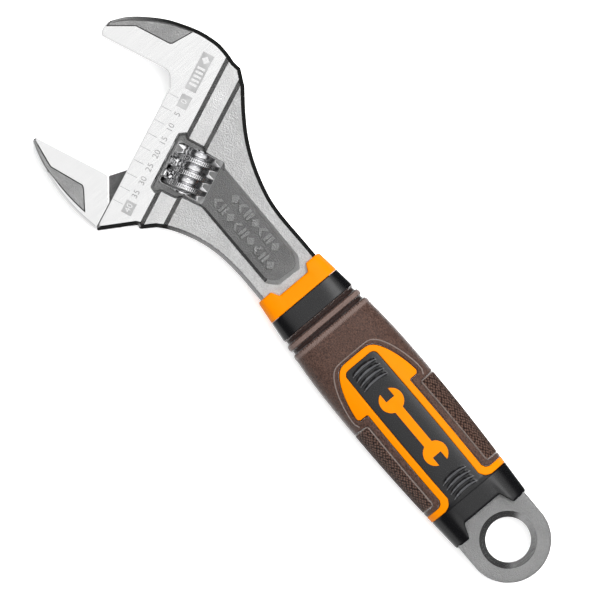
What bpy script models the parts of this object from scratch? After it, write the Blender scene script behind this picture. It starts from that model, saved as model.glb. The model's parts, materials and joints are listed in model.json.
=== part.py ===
"""A wide-opening adjustable wrench with an over-moulded grip, lying flat, built as separate solids.

Run with: blender --background --python part.py

Driving dimensions are in millimetres. place() turns each finished mesh into metres.
Two flat frames are used while modelling:
  handle frame (x, y): x runs along the handle towards the head, y towards the movable jaw,
                       and the centre of the hanging hole is the zero point.
  head frame (p, q):   the same zero point, turned by HEAD_ANGLE. p points out of the mouth and
                       q is the direction in which the movable jaw opens.
z is measured from the wrench's middle plane until place() stands the wrench on z = 0.
"""

import math

import bmesh
import bpy
from mathutils import Matrix, Vector

MM = 0.001
GAP = 0.3  # between pieces that touch

# The middle of the bounding box's underside, in the handle frame.
ORIGIN = Vector((101.784, 3.836, -9.207))

# Head
HEAD_ANGLE = math.radians(22.5)
FACE_Z = 7.4  # half thickness of the polished jaws
BOSS_Z = 6.5  # half thickness of the first step down
BODY_Z = 5.6  # half thickness of the forged body and neck
TANG_Z = 4.6  # half thickness of the tang and the hanging eye
PANEL_Z = 4.2  # half thickness left under the sunk panel
RELIEF_Z = 4.4  # half thickness left under the thumb relief
FACE_STEP = (156.2, 157.6)  # p over which the face falls to the boss
BOSS_STEP = (149.2, 150.6)  # p over which the boss falls to the body
THROAT_P = 169.6
FIXED_FACE_Q = -86.6
OPENING = 40.0
MOVING_FACE_Q = FIXED_FACE_Q + OPENING
JAW_POCKET_DEPTH = 0.7

# Worm, its pin and spring
WORM_P = 150.6
WORM_ENDS = (-67.4, -52.4)
WORM_R = 8.0
WORM_ROOT_R = 5.6
PITCH = 4.7
CREST_HALF = 0.65  # half width of the thread's crest
FLANK = 0.458  # how much a flank widens for each millimetre towards the root
CREST_Q = -53.2  # a crest's place on the side that faces the rack
WORM_BORE_R = 2.3
SPRING_POCKET_R = 3.9
SPRING_POCKET_DEPTH = 5.0
PIN_R = 2.0
PIN_HEAD_R = 3.1
PIN_ENDS = (-75.0, -40.4)
PIN_HEAD_LENGTH = 2.2
SPRING_R = 3.05
SPRING_WIRE_R = 0.4
SPRING_TURNS = 3.5

# Rack on the movable jaw
RACK_P = 160.7
RACK_R = 3.8
RACK_INNER_Q = -61.9
BORE_R = 4.1
WEB_HALF = 2.2
SLOT_HALF = 2.6
RACK_SKEW = -0.1  # the grooves lean with the thread

# Window for the worm, and the hanging eye
WINDOW = ((142.3, -67.8), (159.0, -52.0))
EYE_R = 14.4
HOLE_R = 7.6
HOLE_RIM_R = 9.7
TANG_HALF = 10.8
NECK_HALF = 11.9
NECK_X = 106.4  # the tang thickens to the neck here, under the collar
SHOULDER_X = 114.2  # and widens here, in front of it

# Grip: half width and half depth along the handle, and the layers of its wall
GRIP_WIDTH = ((8.6, 15.2), (30, 16.4), (60, 17.05), (85, 16.3), (98, 15.0), (113.9, 13.2))
GRIP_DEPTH = ((8.6, 7.7), (30, 8.9), (60, 9.5), (85, 9.0), (98, 8.4), (113.9, 7.5))
GRIP_STATIONS = (8.6, 14, 20.6, 25, 32, 40, 50, 60, 70, 80, 90, 98.8, 106, 110, 113.9)
GRIP_ROUNDNESS = ((8.6, 2.8), (60, 2.8), (85, 3.0), (98, 3.6), (113.9, 4.8))  # 2 would be an ellipse
GRIP_SIDES = 32
SKIN = 1.6  # thickness of the rubber and of the accent frame
TAIL_END_X = 20.3  # the bare tail of the core ends here
FRAME_X = 20.6
SHELL_X = (23.3, 98.6)
RING_X = (98.9, 106.0)
COLLAR_X = (106.3, 113.9)
PANEL_HALF = 6.7
PANEL_END_X = 77.6
PANEL_SINK = 0.35
RAIL_OUTER = 9.2
BAR_X = 23.0
ARROW_X = 62.2
PAD_X = (24.8, 59.4)
PAD_INNER = 11.6
SHELL_GROOVES = (93.9, 97.5)
SHELL_GROOVE_WIDTH = 1.8
SHELL_GROOVE_DEPTH = 0.9
EMBLEM_X = (33.5, 65.0)
EMBLEM_HEAD_R = 4.2
EMBLEM_BAR_HALF = 1.5
EMBLEM_MOUTH_HALF = 1.7
EMBLEM_DEPTH = 1.0

STEEL_CAST = ((0.56, 0.56, 0.56), 0.45, 1.0)
STEEL_POLISHED = ((0.90, 0.90, 0.90), 0.22, 1.0)
CHROME = ((0.80, 0.80, 0.81), 0.12, 1.0)
SPRING_STEEL = ((0.50, 0.50, 0.52), 0.30, 1.0)
DARK_PLASTIC = ((0.045, 0.047, 0.050), 0.45, 0.0)
BROWN_RUBBER = ((0.090, 0.055, 0.045), 0.75, 0.0)
ORANGE_PLASTIC = ((1.0, 0.36, 0.01), 0.35, 0.0)


def clear_scene():
    for obj in list(bpy.data.objects):
        bpy.data.objects.remove(obj)


# Points and outlines


def from_head(points):
    """Head-frame points as handle-frame points."""
    c, s = math.cos(HEAD_ANGLE), math.sin(HEAD_ANGLE)
    return [(p * c - q * s, p * s + q * c) for p, q in points]


def arc(centre, radius, start, end, steps):
    """Points from angle start to angle end, in degrees."""
    angles = [math.radians(start + (end - start) * i / steps) for i in range(steps + 1)]
    return [(centre[0] + radius * math.cos(a), centre[1] + radius * math.sin(a)) for a in angles]


def curve(points, steps=3):
    """A smooth curve through the points, with steps spans between each two."""
    made = []
    for i in range(len(points) - 1):
        before = Vector(points[max(i - 1, 0)])
        a, b = Vector(points[i]), Vector(points[i + 1])
        after = Vector(points[min(i + 2, len(points) - 1)])
        for k in range(steps):
            t = k / steps
            bend = (2 * before - 5 * a + 4 * b - after) * t * t + (3 * a - before - 3 * b + after) * t ** 3
            made.append(tuple(a + ((b - before) * t + bend) / 2))
    return made + [tuple(points[-1])]


def mirrored(points):
    """The points followed by their mirror images in the x axis, in reverse order."""
    return list(points) + [(x, -y) for x, y in reversed(points)]


def grown(outline, by):
    """A counter-clockwise outline with every side moved outwards."""
    made = []
    for i, corner in enumerate(outline):
        here = Vector(corner)
        along = (here - Vector(outline[i - 1])).normalized()
        onward = (Vector(outline[(i + 1) % len(outline)]) - here).normalized()
        normals = Vector((along.y, -along.x)), Vector((onward.y, -onward.x))
        middle = (normals[0] + normals[1]).normalized()
        made.append(tuple(here + middle * by / max(middle.dot(normals[0]), 0.3)))
    return made


def at(stations, x):
    """A smooth value at x from a table of (x, value)."""
    last = len(stations) - 1
    i = max(k for k in range(last) if k == 0 or stations[k][0] <= x)
    x0, v0 = stations[i]
    x1, v1 = stations[i + 1]
    before, after = stations[max(i - 1, 0)], stations[min(i + 2, last)]
    t = (x - x0) / (x1 - x0)
    m0 = (v1 - before[1]) / (x1 - before[0]) * (x1 - x0)
    m1 = (after[1] - v0) / (after[0] - x0) * (x1 - x0)
    cubic = (2 * t ** 3 - 3 * t * t + 1) * v0 + (t ** 3 - 2 * t * t + t) * m0
    return cubic + (3 * t * t - 2 * t ** 3) * v1 + (t ** 3 - t * t) * m1


# Solids. Each is an object whose mesh is in handle-frame millimetres.


def solid(name, verts, faces):
    mesh = bpy.data.meshes.new(name)
    mesh.from_pydata([tuple(v) for v in verts], [], faces)
    bm = bmesh.new()
    bm.from_mesh(mesh)
    bmesh.ops.recalc_face_normals(bm, faces=bm.faces)
    bm.to_mesh(mesh)
    bm.free()
    obj = bpy.data.objects.new(name, mesh)
    bpy.context.scene.collection.objects.link(obj)
    return obj


def loft(name, rings):
    """A closed solid through rings of equal length."""
    count = len(rings[0])
    verts = [v for ring in rings for v in ring]
    faces = [tuple(range(count)), tuple(range(len(verts) - count, len(verts)))]
    for r in range(len(rings) - 1):
        for i in range(count):
            j = (i + 1) % count
            faces.append((r * count + i, r * count + j, (r + 1) * count + j, (r + 1) * count + i))
    return solid(name, verts, faces)


def prism(name, outline, low, high):
    """The outline in the handle frame, from z = low to z = high."""
    return loft(name, [[(x, y, z) for x, y in outline] for z in (low, high)])


def head_profile(name, section, q_low, q_high):
    """A section of (p, z) points run along q."""
    rings = []
    for q in (q_low, q_high):
        flat = from_head([(p, q) for p, _ in section])
        rings.append([(x, y, z) for (x, y), (_, z) in zip(flat, section)])
    return loft(name, rings)


def turned(name, p, sections, sides=32):
    """A round solid about the line at p, through sections of (q, radius)."""
    rings = []
    for q, radius in sections:
        ring = []
        for z, dp in arc((0, 0), radius, 0, 360 - 360 / sides, sides - 1):
            x, y = from_head([(p + dp, q)])[0]
            ring.append((x, y, z))
        rings.append(ring)
    return loft(name, rings)


def helix(name, p, start_q, pitch, turns, section, steps, phase=0.0):
    """A section of (radius, dq) points carried round the line at p, right-handed."""
    rings = []
    for i in range(round(turns * steps) + 1):
        turn = i / steps
        angle = 2 * math.pi * turn + phase
        ring = []
        for radius, dq in section:
            point = from_head([(p + radius * math.sin(angle), start_q + pitch * turn + dq)])[0]
            ring.append((*point, radius * math.cos(angle)))
        rings.append(ring)
    return loft(name, rings)


def grip_layer(name, x_low, x_high, inset):
    """The grip's outer form from x_low to x_high, with its surface moved in by inset."""
    stations = [x_low] + [x for x in GRIP_STATIONS if x_low + 0.5 < x < x_high - 0.5] + [x_high]
    rings = []
    for x in stations:
        width, depth = at(GRIP_WIDTH, x) - inset, at(GRIP_DEPTH, x) - inset
        power = 2 / at(GRIP_ROUNDNESS, x)
        ring = []
        for c, s in arc((0, 0), 1, 0, 360 - 360 / GRIP_SIDES, GRIP_SIDES - 1):
            y = math.copysign(abs(c) ** power, c) * width
            z = math.copysign(abs(s) ** power, s) * depth
            ring.append((x, y, z))
        rings.append(ring)
    return loft(name, rings)


def combine(target, operation, *others):
    """Adds, cuts or intersects the other solids, which are then removed."""
    for other in others:
        modifier = target.modifiers.new(operation, "BOOLEAN")
        modifier.operation = operation
        modifier.solver = "EXACT"
        modifier.object = other
        bpy.context.view_layer.update()
        graph = bpy.context.evaluated_depsgraph_get()
        made = bpy.data.meshes.new_from_object(target.evaluated_get(graph))
        target.modifiers.clear()
        target.data = made
        bpy.data.objects.remove(other)
    return target


def cut(target, *others):
    return combine(target, "DIFFERENCE", *others)


def join(target, *others):
    return combine(target, "UNION", *others)


def keep_inside(target, *others):
    return combine(target, "INTERSECT", *others)


def both_faces(name, outline, floor):
    """Two cutters that sink an outline from either face down to half thickness floor."""
    above = FACE_Z + 1
    return prism(name, outline, floor, above), prism(name, outline, -above, -floor)


def material(name, look):
    made = bpy.data.materials.get(name)
    if made:
        return made
    color, roughness, metallic = look
    made = bpy.data.materials.new(name)
    made.use_nodes = True
    shader = made.node_tree.nodes["Principled BSDF"]
    shader.inputs["Base Color"].default_value = (*color, 1)
    shader.inputs["Roughness"].default_value = roughness
    shader.inputs["Metallic"].default_value = metallic
    return made


def place(obj, name, look_name, look, pivot=(0, 0, 0)):
    """Names the object, puts its origin at pivot, and turns its mesh into metres about the wrench's own origin."""
    centre = Vector(pivot)
    obj.name = name
    obj.data.name = name
    obj.data.transform(Matrix.Scale(MM, 4) @ Matrix.Translation(-centre))
    obj.location = (centre - ORIGIN) * MM
    obj.data.materials.clear()
    obj.data.materials.append(material(look_name, look))
    obj.data.shade_smooth()
    obj.data.set_sharp_from_angle(angle=math.radians(35))
    return obj


# The wrench's outlines


def body_outline():
    lower_neck = curve([(120, -NECK_HALF), (131, -11.8), (138, -12.4), (145, -14.1), (152, -16.6),
                        (159, -20.1), (166, -24.8), (172.5, -29.9)])
    jaw_back = curve([(152.2, -98.4), (157, -100.3), (163, -102.5), (169, -103.0), (176, -102.4),
                      (184, -100.3), (191, -97.3), (197.4, -92.5)])
    tip = [(198.4, -90.6), (198.5, -87.6), (197.6, FIXED_FACE_Q)]
    throat = [(173.4, FIXED_FACE_Q), (172.5, -85.9), (THROAT_P, -81.4), (THROAT_P, -28.5)]
    strip_end = [(169.1, -28.2), (158.0, -36.2), (157.0, -35.2), (156.0, -35.7)]
    upper_neck = curve([(155.3, 22.9), (152.2, 20.3), (147, 17.2), (141, 14.6), (134, 12.8),
                        (126, 12.0), (120, NECK_HALF)])
    tang = [(SHOULDER_X, NECK_HALF), (SHOULDER_X, TANG_HALF), (13.6, TANG_HALF), (8.6, EYE_R)]
    return (
        [(x, -y) for x, y in reversed(tang)]
        + lower_neck
        + from_head(jaw_back + tip + throat + strip_end)
        + upper_neck
        + tang
        + arc((0, 0), EYE_R, 90, 270, 24)
    )


def jaw_outline():
    back = curve([(202.3, -45.3), (199.8, -42.1), (195, -38.5), (190, -35.5), (185, -33.0), (180, -31.0),
                  (175, -29.5), (170.4, -28.4)])
    heel = THROAT_P + GAP
    face = [(heel, -38.3), (173.9, -45.9), (174.9, MOVING_FACE_Q), (201.4, MOVING_FACE_Q), (202.3, -46.0)]
    return from_head(face + back + [(heel, -28.7)])


def fixed_pocket_outline():
    """The sunk, unpolished field on the fixed jaw."""
    rim = curve([(171.6, -101.4), (180, -100.1), (190, -96.3), (198.0, -91.0)])
    return from_head(rim + [(198.0, -89.7), (189.2, -94.5), (176.3, -94.5)])


def jaw_pocket_outline():
    """The sunk, unpolished field on the movable jaw."""
    rim = curve([(201.6, -44.9), (194.5, -39.6), (185, -34.6), (175.4, -31.5)])
    return from_head([(179.8, -39.5), (192.4, -39.9)] + rim)


def panel_outline():
    """The long sunk panel on the neck, which runs into the thumb relief."""
    return [(115, -5.2), (118.3, -7.0), (158.5, -7.0), (158.5, 7.4), (150.2, 6.6), (118.3, 6.6), (115, 4.6)]


def relief_outline():
    """The shallow thumb relief round the worm's window."""
    return from_head([(138.0, -62.0), (142.6, -68.2), (149.2, -68.2), (150.6, -69.7), (157.4, -69.7),
                      (158.0, -70.4), (160.1, -69.3), (160.1, -49.6), (158.2, -48.5), (157.0, -49.6),
                      (150.4, -49.6), (149.2, -50.9), (140.2, -50.9)])


def frame_outline(extra=0.0):
    """The accent frame's outer edge. It is open at the tail, where its bars run round the grip's sides."""
    side = [(BAR_X + extra, 24), (BAR_X + extra, 11.2), (BAR_X + 0.6 + extra, 9.9), (BAR_X + 1.9, RAIL_OUTER + extra)]
    arrow = [(ARROW_X - extra, RAIL_OUTER + extra), (ARROW_X - extra, 12.2 + extra)]
    nose = curve([(63.6, 13.1), (69, 12.2), (74.5, 10.4), (78.2, 8.4), (79.7, 6.2), (80.1, 3.6)])
    upper = [(FRAME_X, 24)] + side + arrow + [(x + extra * 0.7, y + extra * 0.7) for x, y in nose]
    return [(x, -y) for x, y in upper] + list(reversed(upper))


def panel_edge(half, end_x, radius, start_x):
    """The rounded front of the dark field between the frame's rails."""
    corner = arc((end_x - radius, half - radius), radius, 0, 90, 4)
    return [(x, -y) for x, y in [(start_x, half)] + list(reversed(corner))] + corner + [(start_x, half)]


def rail_gap_outline(grow):
    """What the accent frame leaves open: the dark field, flared at the tail round the frame's corners."""
    tail = [(FRAME_X - 2, 9.9), (FRAME_X, 9.9), (FRAME_X + 0.8, 8.0), (FRAME_X + 2.9, PANEL_HALF)]
    corner = list(reversed(arc((PANEL_END_X - 2, PANEL_HALF - 2), 2, 0, 90, 4)))
    upper = tail + corner
    outline = [(x, -y) for x, y in upper] + list(reversed(upper))
    return grown(outline, grow)


def emblem_outline():
    """A plain double-ended spanner as a picture of a tool."""
    left, right = EMBLEM_X[0] + EMBLEM_HEAD_R, EMBLEM_X[1] - EMBLEM_HEAD_R
    meet = math.degrees(math.asin(EMBLEM_BAR_HALF / EMBLEM_HEAD_R))
    mouth = math.degrees(math.asin(EMBLEM_MOUTH_HALF / EMBLEM_HEAD_R))
    right_head = arc((right, 0), EMBLEM_HEAD_R, -180 + meet, -mouth, 8)
    right_notch = [(right + 0.6, -EMBLEM_MOUTH_HALF), (right + 0.6, EMBLEM_MOUTH_HALF)]
    right_top = arc((right, 0), EMBLEM_HEAD_R, mouth, 180 - meet, 8)
    left_head = arc((left, 0), EMBLEM_HEAD_R, meet, 180 - mouth, 8)
    left_notch = [(left - 0.6, EMBLEM_MOUTH_HALF), (left - 0.6, -EMBLEM_MOUTH_HALF)]
    left_bottom = arc((left, 0), EMBLEM_HEAD_R, 180 + mouth, 360 - meet, 8)
    return right_head + right_notch + right_top + left_head + left_notch + left_bottom


# The pieces


def slot_cutter():
    """The guide slot for the jaw's web, open to the throat and ending in the fixed jaw."""
    outline = from_head([(RACK_P, -98.6), (163.0, -98.6), (175.1, -86.5), (175.1, -84.0),
                         (176.0, -80.0), (176.0, -20.0), (RACK_P, -20.0)])
    return prism("slot", outline, -SLOT_HALF, SLOT_HALF)


def make_wrench_body():
    high = FACE_Z + 0.6
    section = [(-60, -BODY_Z), (BOSS_STEP[0], -BODY_Z), (BOSS_STEP[1], -BOSS_Z), (FACE_STEP[0], -BOSS_Z),
               (FACE_STEP[1], -FACE_Z), (215, -FACE_Z)]
    section += [(p, -z) for p, z in reversed(section)]
    handle = [(-20, TANG_Z), (NECK_X, TANG_Z), (NECK_X + 1, high), (230, high)]
    handle = [(x, -z) for x, z in handle] + list(reversed(handle))
    body = prism("wrench_body", body_outline(), -high, high)
    keep_inside(body, head_profile("levels", section, -200, 200))
    keep_inside(body, loft("handle_levels", [[(x, y, z) for x, z in handle] for y in (60, -60)]))
    cut(body, *both_faces("relief", relief_outline(), RELIEF_Z))
    cut(body, *both_faces("panel", panel_outline(), PANEL_Z))
    cut(body, *both_faces("fixed_pocket", fixed_pocket_outline(), FACE_Z - JAW_POCKET_DEPTH))
    (p_low, q_low), (p_high, q_high) = WINDOW
    window = from_head([(p_low, q_low), (p_high, q_low), (p_high, q_high), (p_low, q_high)])
    cut(body, prism("window", window, -high, high), slot_cutter())
    cut(body, turned("rack_bore", RACK_P, [(-115, BORE_R), (-20, BORE_R)]))
    cut(body, turned("pin_hole", WORM_P, [(PIN_ENDS[0] - 0.4, PIN_R + GAP), (-30, PIN_R + GAP)], 24))
    head_floor = PIN_ENDS[1] - PIN_HEAD_LENGTH - GAP
    cut(body, turned("pin_seat", WORM_P, [(head_floor, PIN_HEAD_R + GAP), (-30, PIN_HEAD_R + GAP)], 24))
    cone = HOLE_RIM_R - HOLE_R
    levels = [(-TANG_Z - 1, HOLE_RIM_R + 1), (-TANG_Z + cone, HOLE_R), (TANG_Z - cone, HOLE_R),
              (TANG_Z + 1, HOLE_RIM_R + 1)]
    eye = loft("eye", [[(x, y, z) for x, y in arc((0, 0), r, 0, 352.5, 47)] for z, r in levels])
    return place(cut(body, eye), "wrench_body", "forged_steel", STEEL_CAST)


def rack_groove(q):
    """Room for one turn of the thread, leaning with it."""
    crest_p = WORM_P + WORM_R
    rings = []
    for z in (-6, 6):
        section = []
        for p in (156.0, 159.0):
            half = CREST_HALF + GAP + FLANK * (crest_p - p)
            section += [(p, q + RACK_SKEW * z - half), (p, q + RACK_SKEW * z + half)]
        section = [section[0], section[2], section[3], section[1]]
        rings.append([(x, y, z) for x, y in from_head(section)])
    return loft("groove", rings)


def make_movable_jaw():
    jaw = prism("movable_jaw", jaw_outline(), -FACE_Z, FACE_Z)
    cut(jaw, *both_faces("jaw_pocket", jaw_pocket_outline(), FACE_Z - JAW_POCKET_DEPTH))
    web = from_head([(174.2, -46.2), (163.0, -57.4), (RACK_P, -57.4), (RACK_P, -35.0), (169.6, -29.2),
                     (172.0, -30.5), (175.5, -40.0)])
    join(jaw, prism("web", web, -WEB_HALF, WEB_HALF))
    rod = turned("rod", RACK_P, [(RACK_INNER_Q, RACK_R - 0.6), (RACK_INNER_Q + 0.6, RACK_R), (-28.0, RACK_R)])
    beyond = from_head([(154.0, -39.7), (THROAT_P, -28.5), (THROAT_P, -15.0), (154.0, -15.0)])
    cut(rod, prism("beyond_the_head", beyond, -6, 6))
    join(jaw, rod)
    grooves = [CREST_Q + PITCH * k for k in range(-2, 4)]
    cut(jaw, *[rack_groove(q) for q in grooves])
    pivot = (*from_head([(RACK_P, (RACK_INNER_Q + MOVING_FACE_Q) / 2)])[0], 0)
    return place(jaw, "movable_jaw", "polished_steel", STEEL_POLISHED, pivot)


def make_worm():
    low, high = WORM_ENDS
    worm = turned("adjusting_worm", WORM_P, [(low, WORM_R - 0.5), (low + 0.5, WORM_R), (high - 0.5, WORM_R),
                                             (high, WORM_R - 0.5)], 48)
    root_half = PITCH / 2 - CREST_HALF - FLANK * (WORM_R - WORM_ROOT_R)
    outer_r = WORM_R + 0.6
    outer_half = root_half + FLANK * (outer_r - WORM_ROOT_R)
    section = [(WORM_ROOT_R, -root_half), (WORM_ROOT_R, root_half), (outer_r, outer_half), (outer_r, -outer_half)]
    start = CREST_Q - 4.25 * PITCH
    cut(worm, helix("thread", WORM_P, start, PITCH, 5.5, section, 32, phase=-math.pi))
    cut(worm, turned("bore", WORM_P, [(low - 1, WORM_BORE_R), (high + 1, WORM_BORE_R)], 24))
    pocket = [(low - 1, SPRING_POCKET_R), (low + SPRING_POCKET_DEPTH, SPRING_POCKET_R)]
    cut(worm, turned("spring_pocket", WORM_P, pocket, 24))
    pivot = (*from_head([(WORM_P, (low + high) / 2)])[0], 0)
    return place(worm, "adjusting_worm", "chrome", CHROME, pivot)


def make_worm_pin():
    low, high = PIN_ENDS
    shoulder = high - PIN_HEAD_LENGTH
    pin = turned("worm_pin", WORM_P, [(low, PIN_R - 0.5), (low + 0.5, PIN_R), (shoulder, PIN_R),
                                      (shoulder, PIN_HEAD_R), (high - 0.3, PIN_HEAD_R), (high, PIN_HEAD_R - 0.3)], 24)
    slot = from_head([(WORM_P - 4, high - 0.9), (WORM_P + 4, high - 0.9), (WORM_P + 4, high + 1),
                      (WORM_P - 4, high + 1)])
    cut(pin, prism("screwdriver_slot", slot, -0.45, 0.45))
    return place(pin, "worm_pin", "chrome", CHROME)


def make_worm_spring():
    section = [(SPRING_R + r, dq) for r, dq in arc((0, 0), SPRING_WIRE_R, 0, 300, 5)]
    low = WORM_ENDS[0] + SPRING_WIRE_R + 0.1
    length = SPRING_POCKET_DEPTH - 2 * SPRING_WIRE_R - 0.4
    spring = helix("worm_spring", WORM_P, low, length / SPRING_TURNS, SPRING_TURNS, section, 20)
    return place(spring, "worm_spring", "spring_steel", SPRING_STEEL)


def make_grip_core():
    core = grip_layer("grip_core", GRIP_STATIONS[0] + 0.4, RING_X[1] - 0.4, SKIN + GAP)
    join(core, grip_layer("tail", GRIP_STATIONS[0], TAIL_END_X, 0), grip_layer("ring", *RING_X, 0))
    field = grip_layer("field", 15, PANEL_END_X + 1, PANEL_SINK)
    keep_inside(field, prism("field_edge", rail_gap_outline(-GAP), -12, 12))
    join(core, field)
    tang = [(4, -EYE_R), (8.6, -EYE_R), (13.6, -TANG_HALF), (115, -TANG_HALF), (115, TANG_HALF),
            (13.6, TANG_HALF), (8.6, EYE_R), (4, EYE_R)]
    cut(core, prism("tang_room", grown(tang, GAP), -TANG_Z - GAP, TANG_Z + GAP))
    notch = [(13.7, 6.2), (12.9, 8.0), (10.6, 8.9), (10.0, 9.8), (8.5, 16)]
    notch = [(x, -y) for x, y in reversed(notch)] + notch + [(0, 18), (0, -18)]
    cut(core, prism("tail_notch", notch, -12, 12))
    for sign in (1, -1):
        low, high = sorted((sign * 7.4, sign * 12))
        cut(core, prism("emblem_seat", grown(emblem_outline(), GAP), low, high))
    return place(core, "grip_core", "dark_plastic", DARK_PLASTIC)


def make_front_collar():
    collar = grip_layer("front_collar", *COLLAR_X, 0)
    neck = [(100, -TANG_HALF), (125, -TANG_HALF), (125, TANG_HALF), (100, TANG_HALF)]
    cut(collar, prism("neck_room", grown(neck, GAP), -BODY_Z - GAP, BODY_Z + GAP))
    notch = [(111.2, -6.3), (113.5, -8.2), (116, -8.2), (116, 8.2), (113.5, 8.2), (111.2, 6.3)]
    cut(collar, prism("notch", notch, -12, 12))
    return place(collar, "front_collar", "orange_plastic", ORANGE_PLASTIC)


def shell_groove(x):
    """A ring cutter that sinks a groove round the rubber shell."""
    half = SHELL_GROOVE_WIDTH / 2
    ring = grip_layer("groove", x - half, x + half, -1)
    return cut(ring, grip_layer("groove_floor", x - half - 1, x + half + 1, SHELL_GROOVE_DEPTH))


def make_grip_shell():
    shell = grip_layer("grip_shell", *SHELL_X, 0)
    cut(shell, grip_layer("inside", SHELL_X[0] - 2, SHELL_X[1] + 2, SKIN))
    cut(shell, prism("frame_room", frame_outline(GAP), -12, 12))
    low, high = PAD_X[0] - GAP, PAD_X[1] + GAP
    for sign in (1, -1):
        near, far = sorted((sign * (PAD_INNER - GAP), sign * 24))
        cut(shell, prism("pad_room", [(low, near), (high, near), (high, far), (low, far)], -12, 12))
    cut(shell, *[shell_groove(x) for x in SHELL_GROOVES])
    return place(shell, "grip_shell", "brown_rubber", BROWN_RUBBER)


def make_accent_frame():
    frame = grip_layer("accent_frame", FRAME_X, 82, 0)
    cut(frame, grip_layer("inside", FRAME_X - 2, 84, SKIN))
    keep_inside(frame, prism("outer_edge", frame_outline(), -12, 12))
    cut(frame, prism("field", rail_gap_outline(0), -12, 12))
    return place(frame, "accent_frame", "orange_plastic", ORANGE_PLASTIC)


def make_side_pad(name, sign):
    pad = grip_layer(name, *PAD_X, 0)
    cut(pad, grip_layer("inside", PAD_X[0] - 2, PAD_X[1] + 2, SKIN))
    near, far = sorted((sign * PAD_INNER, sign * 24))
    keep_inside(pad, prism("side", [(20, near), (70, near), (70, far), (20, far)], -12, 12))
    return place(pad, name, "brown_rubber", BROWN_RUBBER)


def make_emblem(name, sign):
    emblem = grip_layer(name, EMBLEM_X[0] - 2, EMBLEM_X[1] + 2, PANEL_SINK)
    low, high = sorted((sign * (7.4 + GAP), sign * 12))
    keep_inside(emblem, prism("edge", emblem_outline(), low, high))
    return place(emblem, name, "orange_plastic", ORANGE_PLASTIC)


def main():
    clear_scene()
    make_wrench_body()
    make_movable_jaw()
    make_worm()
    make_worm_pin()
    make_worm_spring()
    make_grip_core()
    make_front_collar()
    make_grip_shell()
    make_accent_frame()
    make_side_pad("side_pad_left", 1)
    make_side_pad("side_pad_right", -1)
    make_emblem("emblem_front", 1)
    make_emblem("emblem_back", -1)


main()
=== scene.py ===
"""The visual model of an adjustable wrench with an over-moulded grip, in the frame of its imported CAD.

Shapes are worked out in millimetres and finished() turns them into metres in the row frame.
Two flat frames are used:
  handle frame (x, y): x runs along the handle towards the head, y towards the movable jaw,
                       and the centre of the hanging hole is the zero point.
  head frame (p, q):   the same zero point, turned by HEAD_ANGLE. p points out of the mouth and
                       q is the direction in which the movable jaw opens.
z is measured from the wrench's middle plane.
"""

import json
import math

import bmesh
import bpy
import numpy as np
from mathutils import Matrix, Vector
from mathutils.geometry import delaunay_2d_cdt

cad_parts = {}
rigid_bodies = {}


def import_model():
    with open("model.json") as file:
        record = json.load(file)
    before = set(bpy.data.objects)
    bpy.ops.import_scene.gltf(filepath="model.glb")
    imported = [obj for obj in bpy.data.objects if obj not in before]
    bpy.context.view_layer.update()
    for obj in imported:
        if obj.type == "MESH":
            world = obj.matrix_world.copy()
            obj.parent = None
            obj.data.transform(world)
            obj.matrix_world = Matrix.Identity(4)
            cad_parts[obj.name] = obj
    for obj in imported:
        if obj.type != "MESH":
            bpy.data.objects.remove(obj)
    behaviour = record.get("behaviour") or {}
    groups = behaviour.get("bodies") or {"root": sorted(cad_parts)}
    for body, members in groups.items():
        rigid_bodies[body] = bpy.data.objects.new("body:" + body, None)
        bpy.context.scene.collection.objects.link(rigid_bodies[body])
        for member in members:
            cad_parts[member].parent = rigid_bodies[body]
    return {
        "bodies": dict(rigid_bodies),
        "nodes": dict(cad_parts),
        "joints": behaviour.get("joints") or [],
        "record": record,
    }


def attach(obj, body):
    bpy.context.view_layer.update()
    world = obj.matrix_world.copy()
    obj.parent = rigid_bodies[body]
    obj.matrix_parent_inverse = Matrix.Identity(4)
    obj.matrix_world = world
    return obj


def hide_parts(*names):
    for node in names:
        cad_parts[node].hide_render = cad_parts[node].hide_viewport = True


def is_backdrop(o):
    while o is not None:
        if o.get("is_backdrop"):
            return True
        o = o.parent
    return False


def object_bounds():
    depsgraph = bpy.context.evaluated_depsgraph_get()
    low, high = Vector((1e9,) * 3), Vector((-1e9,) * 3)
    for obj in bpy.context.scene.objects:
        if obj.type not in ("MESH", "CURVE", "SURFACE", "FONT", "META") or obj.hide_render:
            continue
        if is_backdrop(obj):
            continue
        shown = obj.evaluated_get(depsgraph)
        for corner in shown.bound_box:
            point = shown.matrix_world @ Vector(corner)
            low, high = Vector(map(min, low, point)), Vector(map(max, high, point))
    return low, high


MM = 0.001
ORIGIN = Vector((101.784, 3.836, -9.207))  # the row frame's origin in the handle frame

# Head
HEAD_ANGLE = math.radians(22.5)
COS, SIN = math.cos(HEAD_ANGLE), math.sin(HEAD_ANGLE)
FACE_Z = 7.4
BOSS_Z = 6.5
BODY_Z = 5.6
TANG_Z = 4.6
PANEL_Z = 4.2
RELIEF_Z = 4.4
FACE_STEP = (156.2, 157.7)
BOSS_STEP = (149.1, 150.6)
THROAT_P = 169.6
FIXED_FACE_Q = -86.6
MOVING_FACE_Q = -46.6
POCKET_DEPTH = 0.7
POCKET_WALL = 0.38
POCKET_RIM = 1.5  # the pocket walls this near a jaw's back take the pocket floor's colour instead of the walls' painted shade
RELIEF_WALL = 0.8
RIM = (1.35, 1.15)  # width and drop of the rounded outer edge
EDGE = (0.1, 0.06)  # the same for machined edges
RIM_LOOPS = (0.3, 0.75, 1.35)
TAIL_RIM = (0.9, 0.35)  # and round the eye
TAIL_END_X = 60  # anywhere inside the grip: the eye's finish gives way to the head's there

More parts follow.
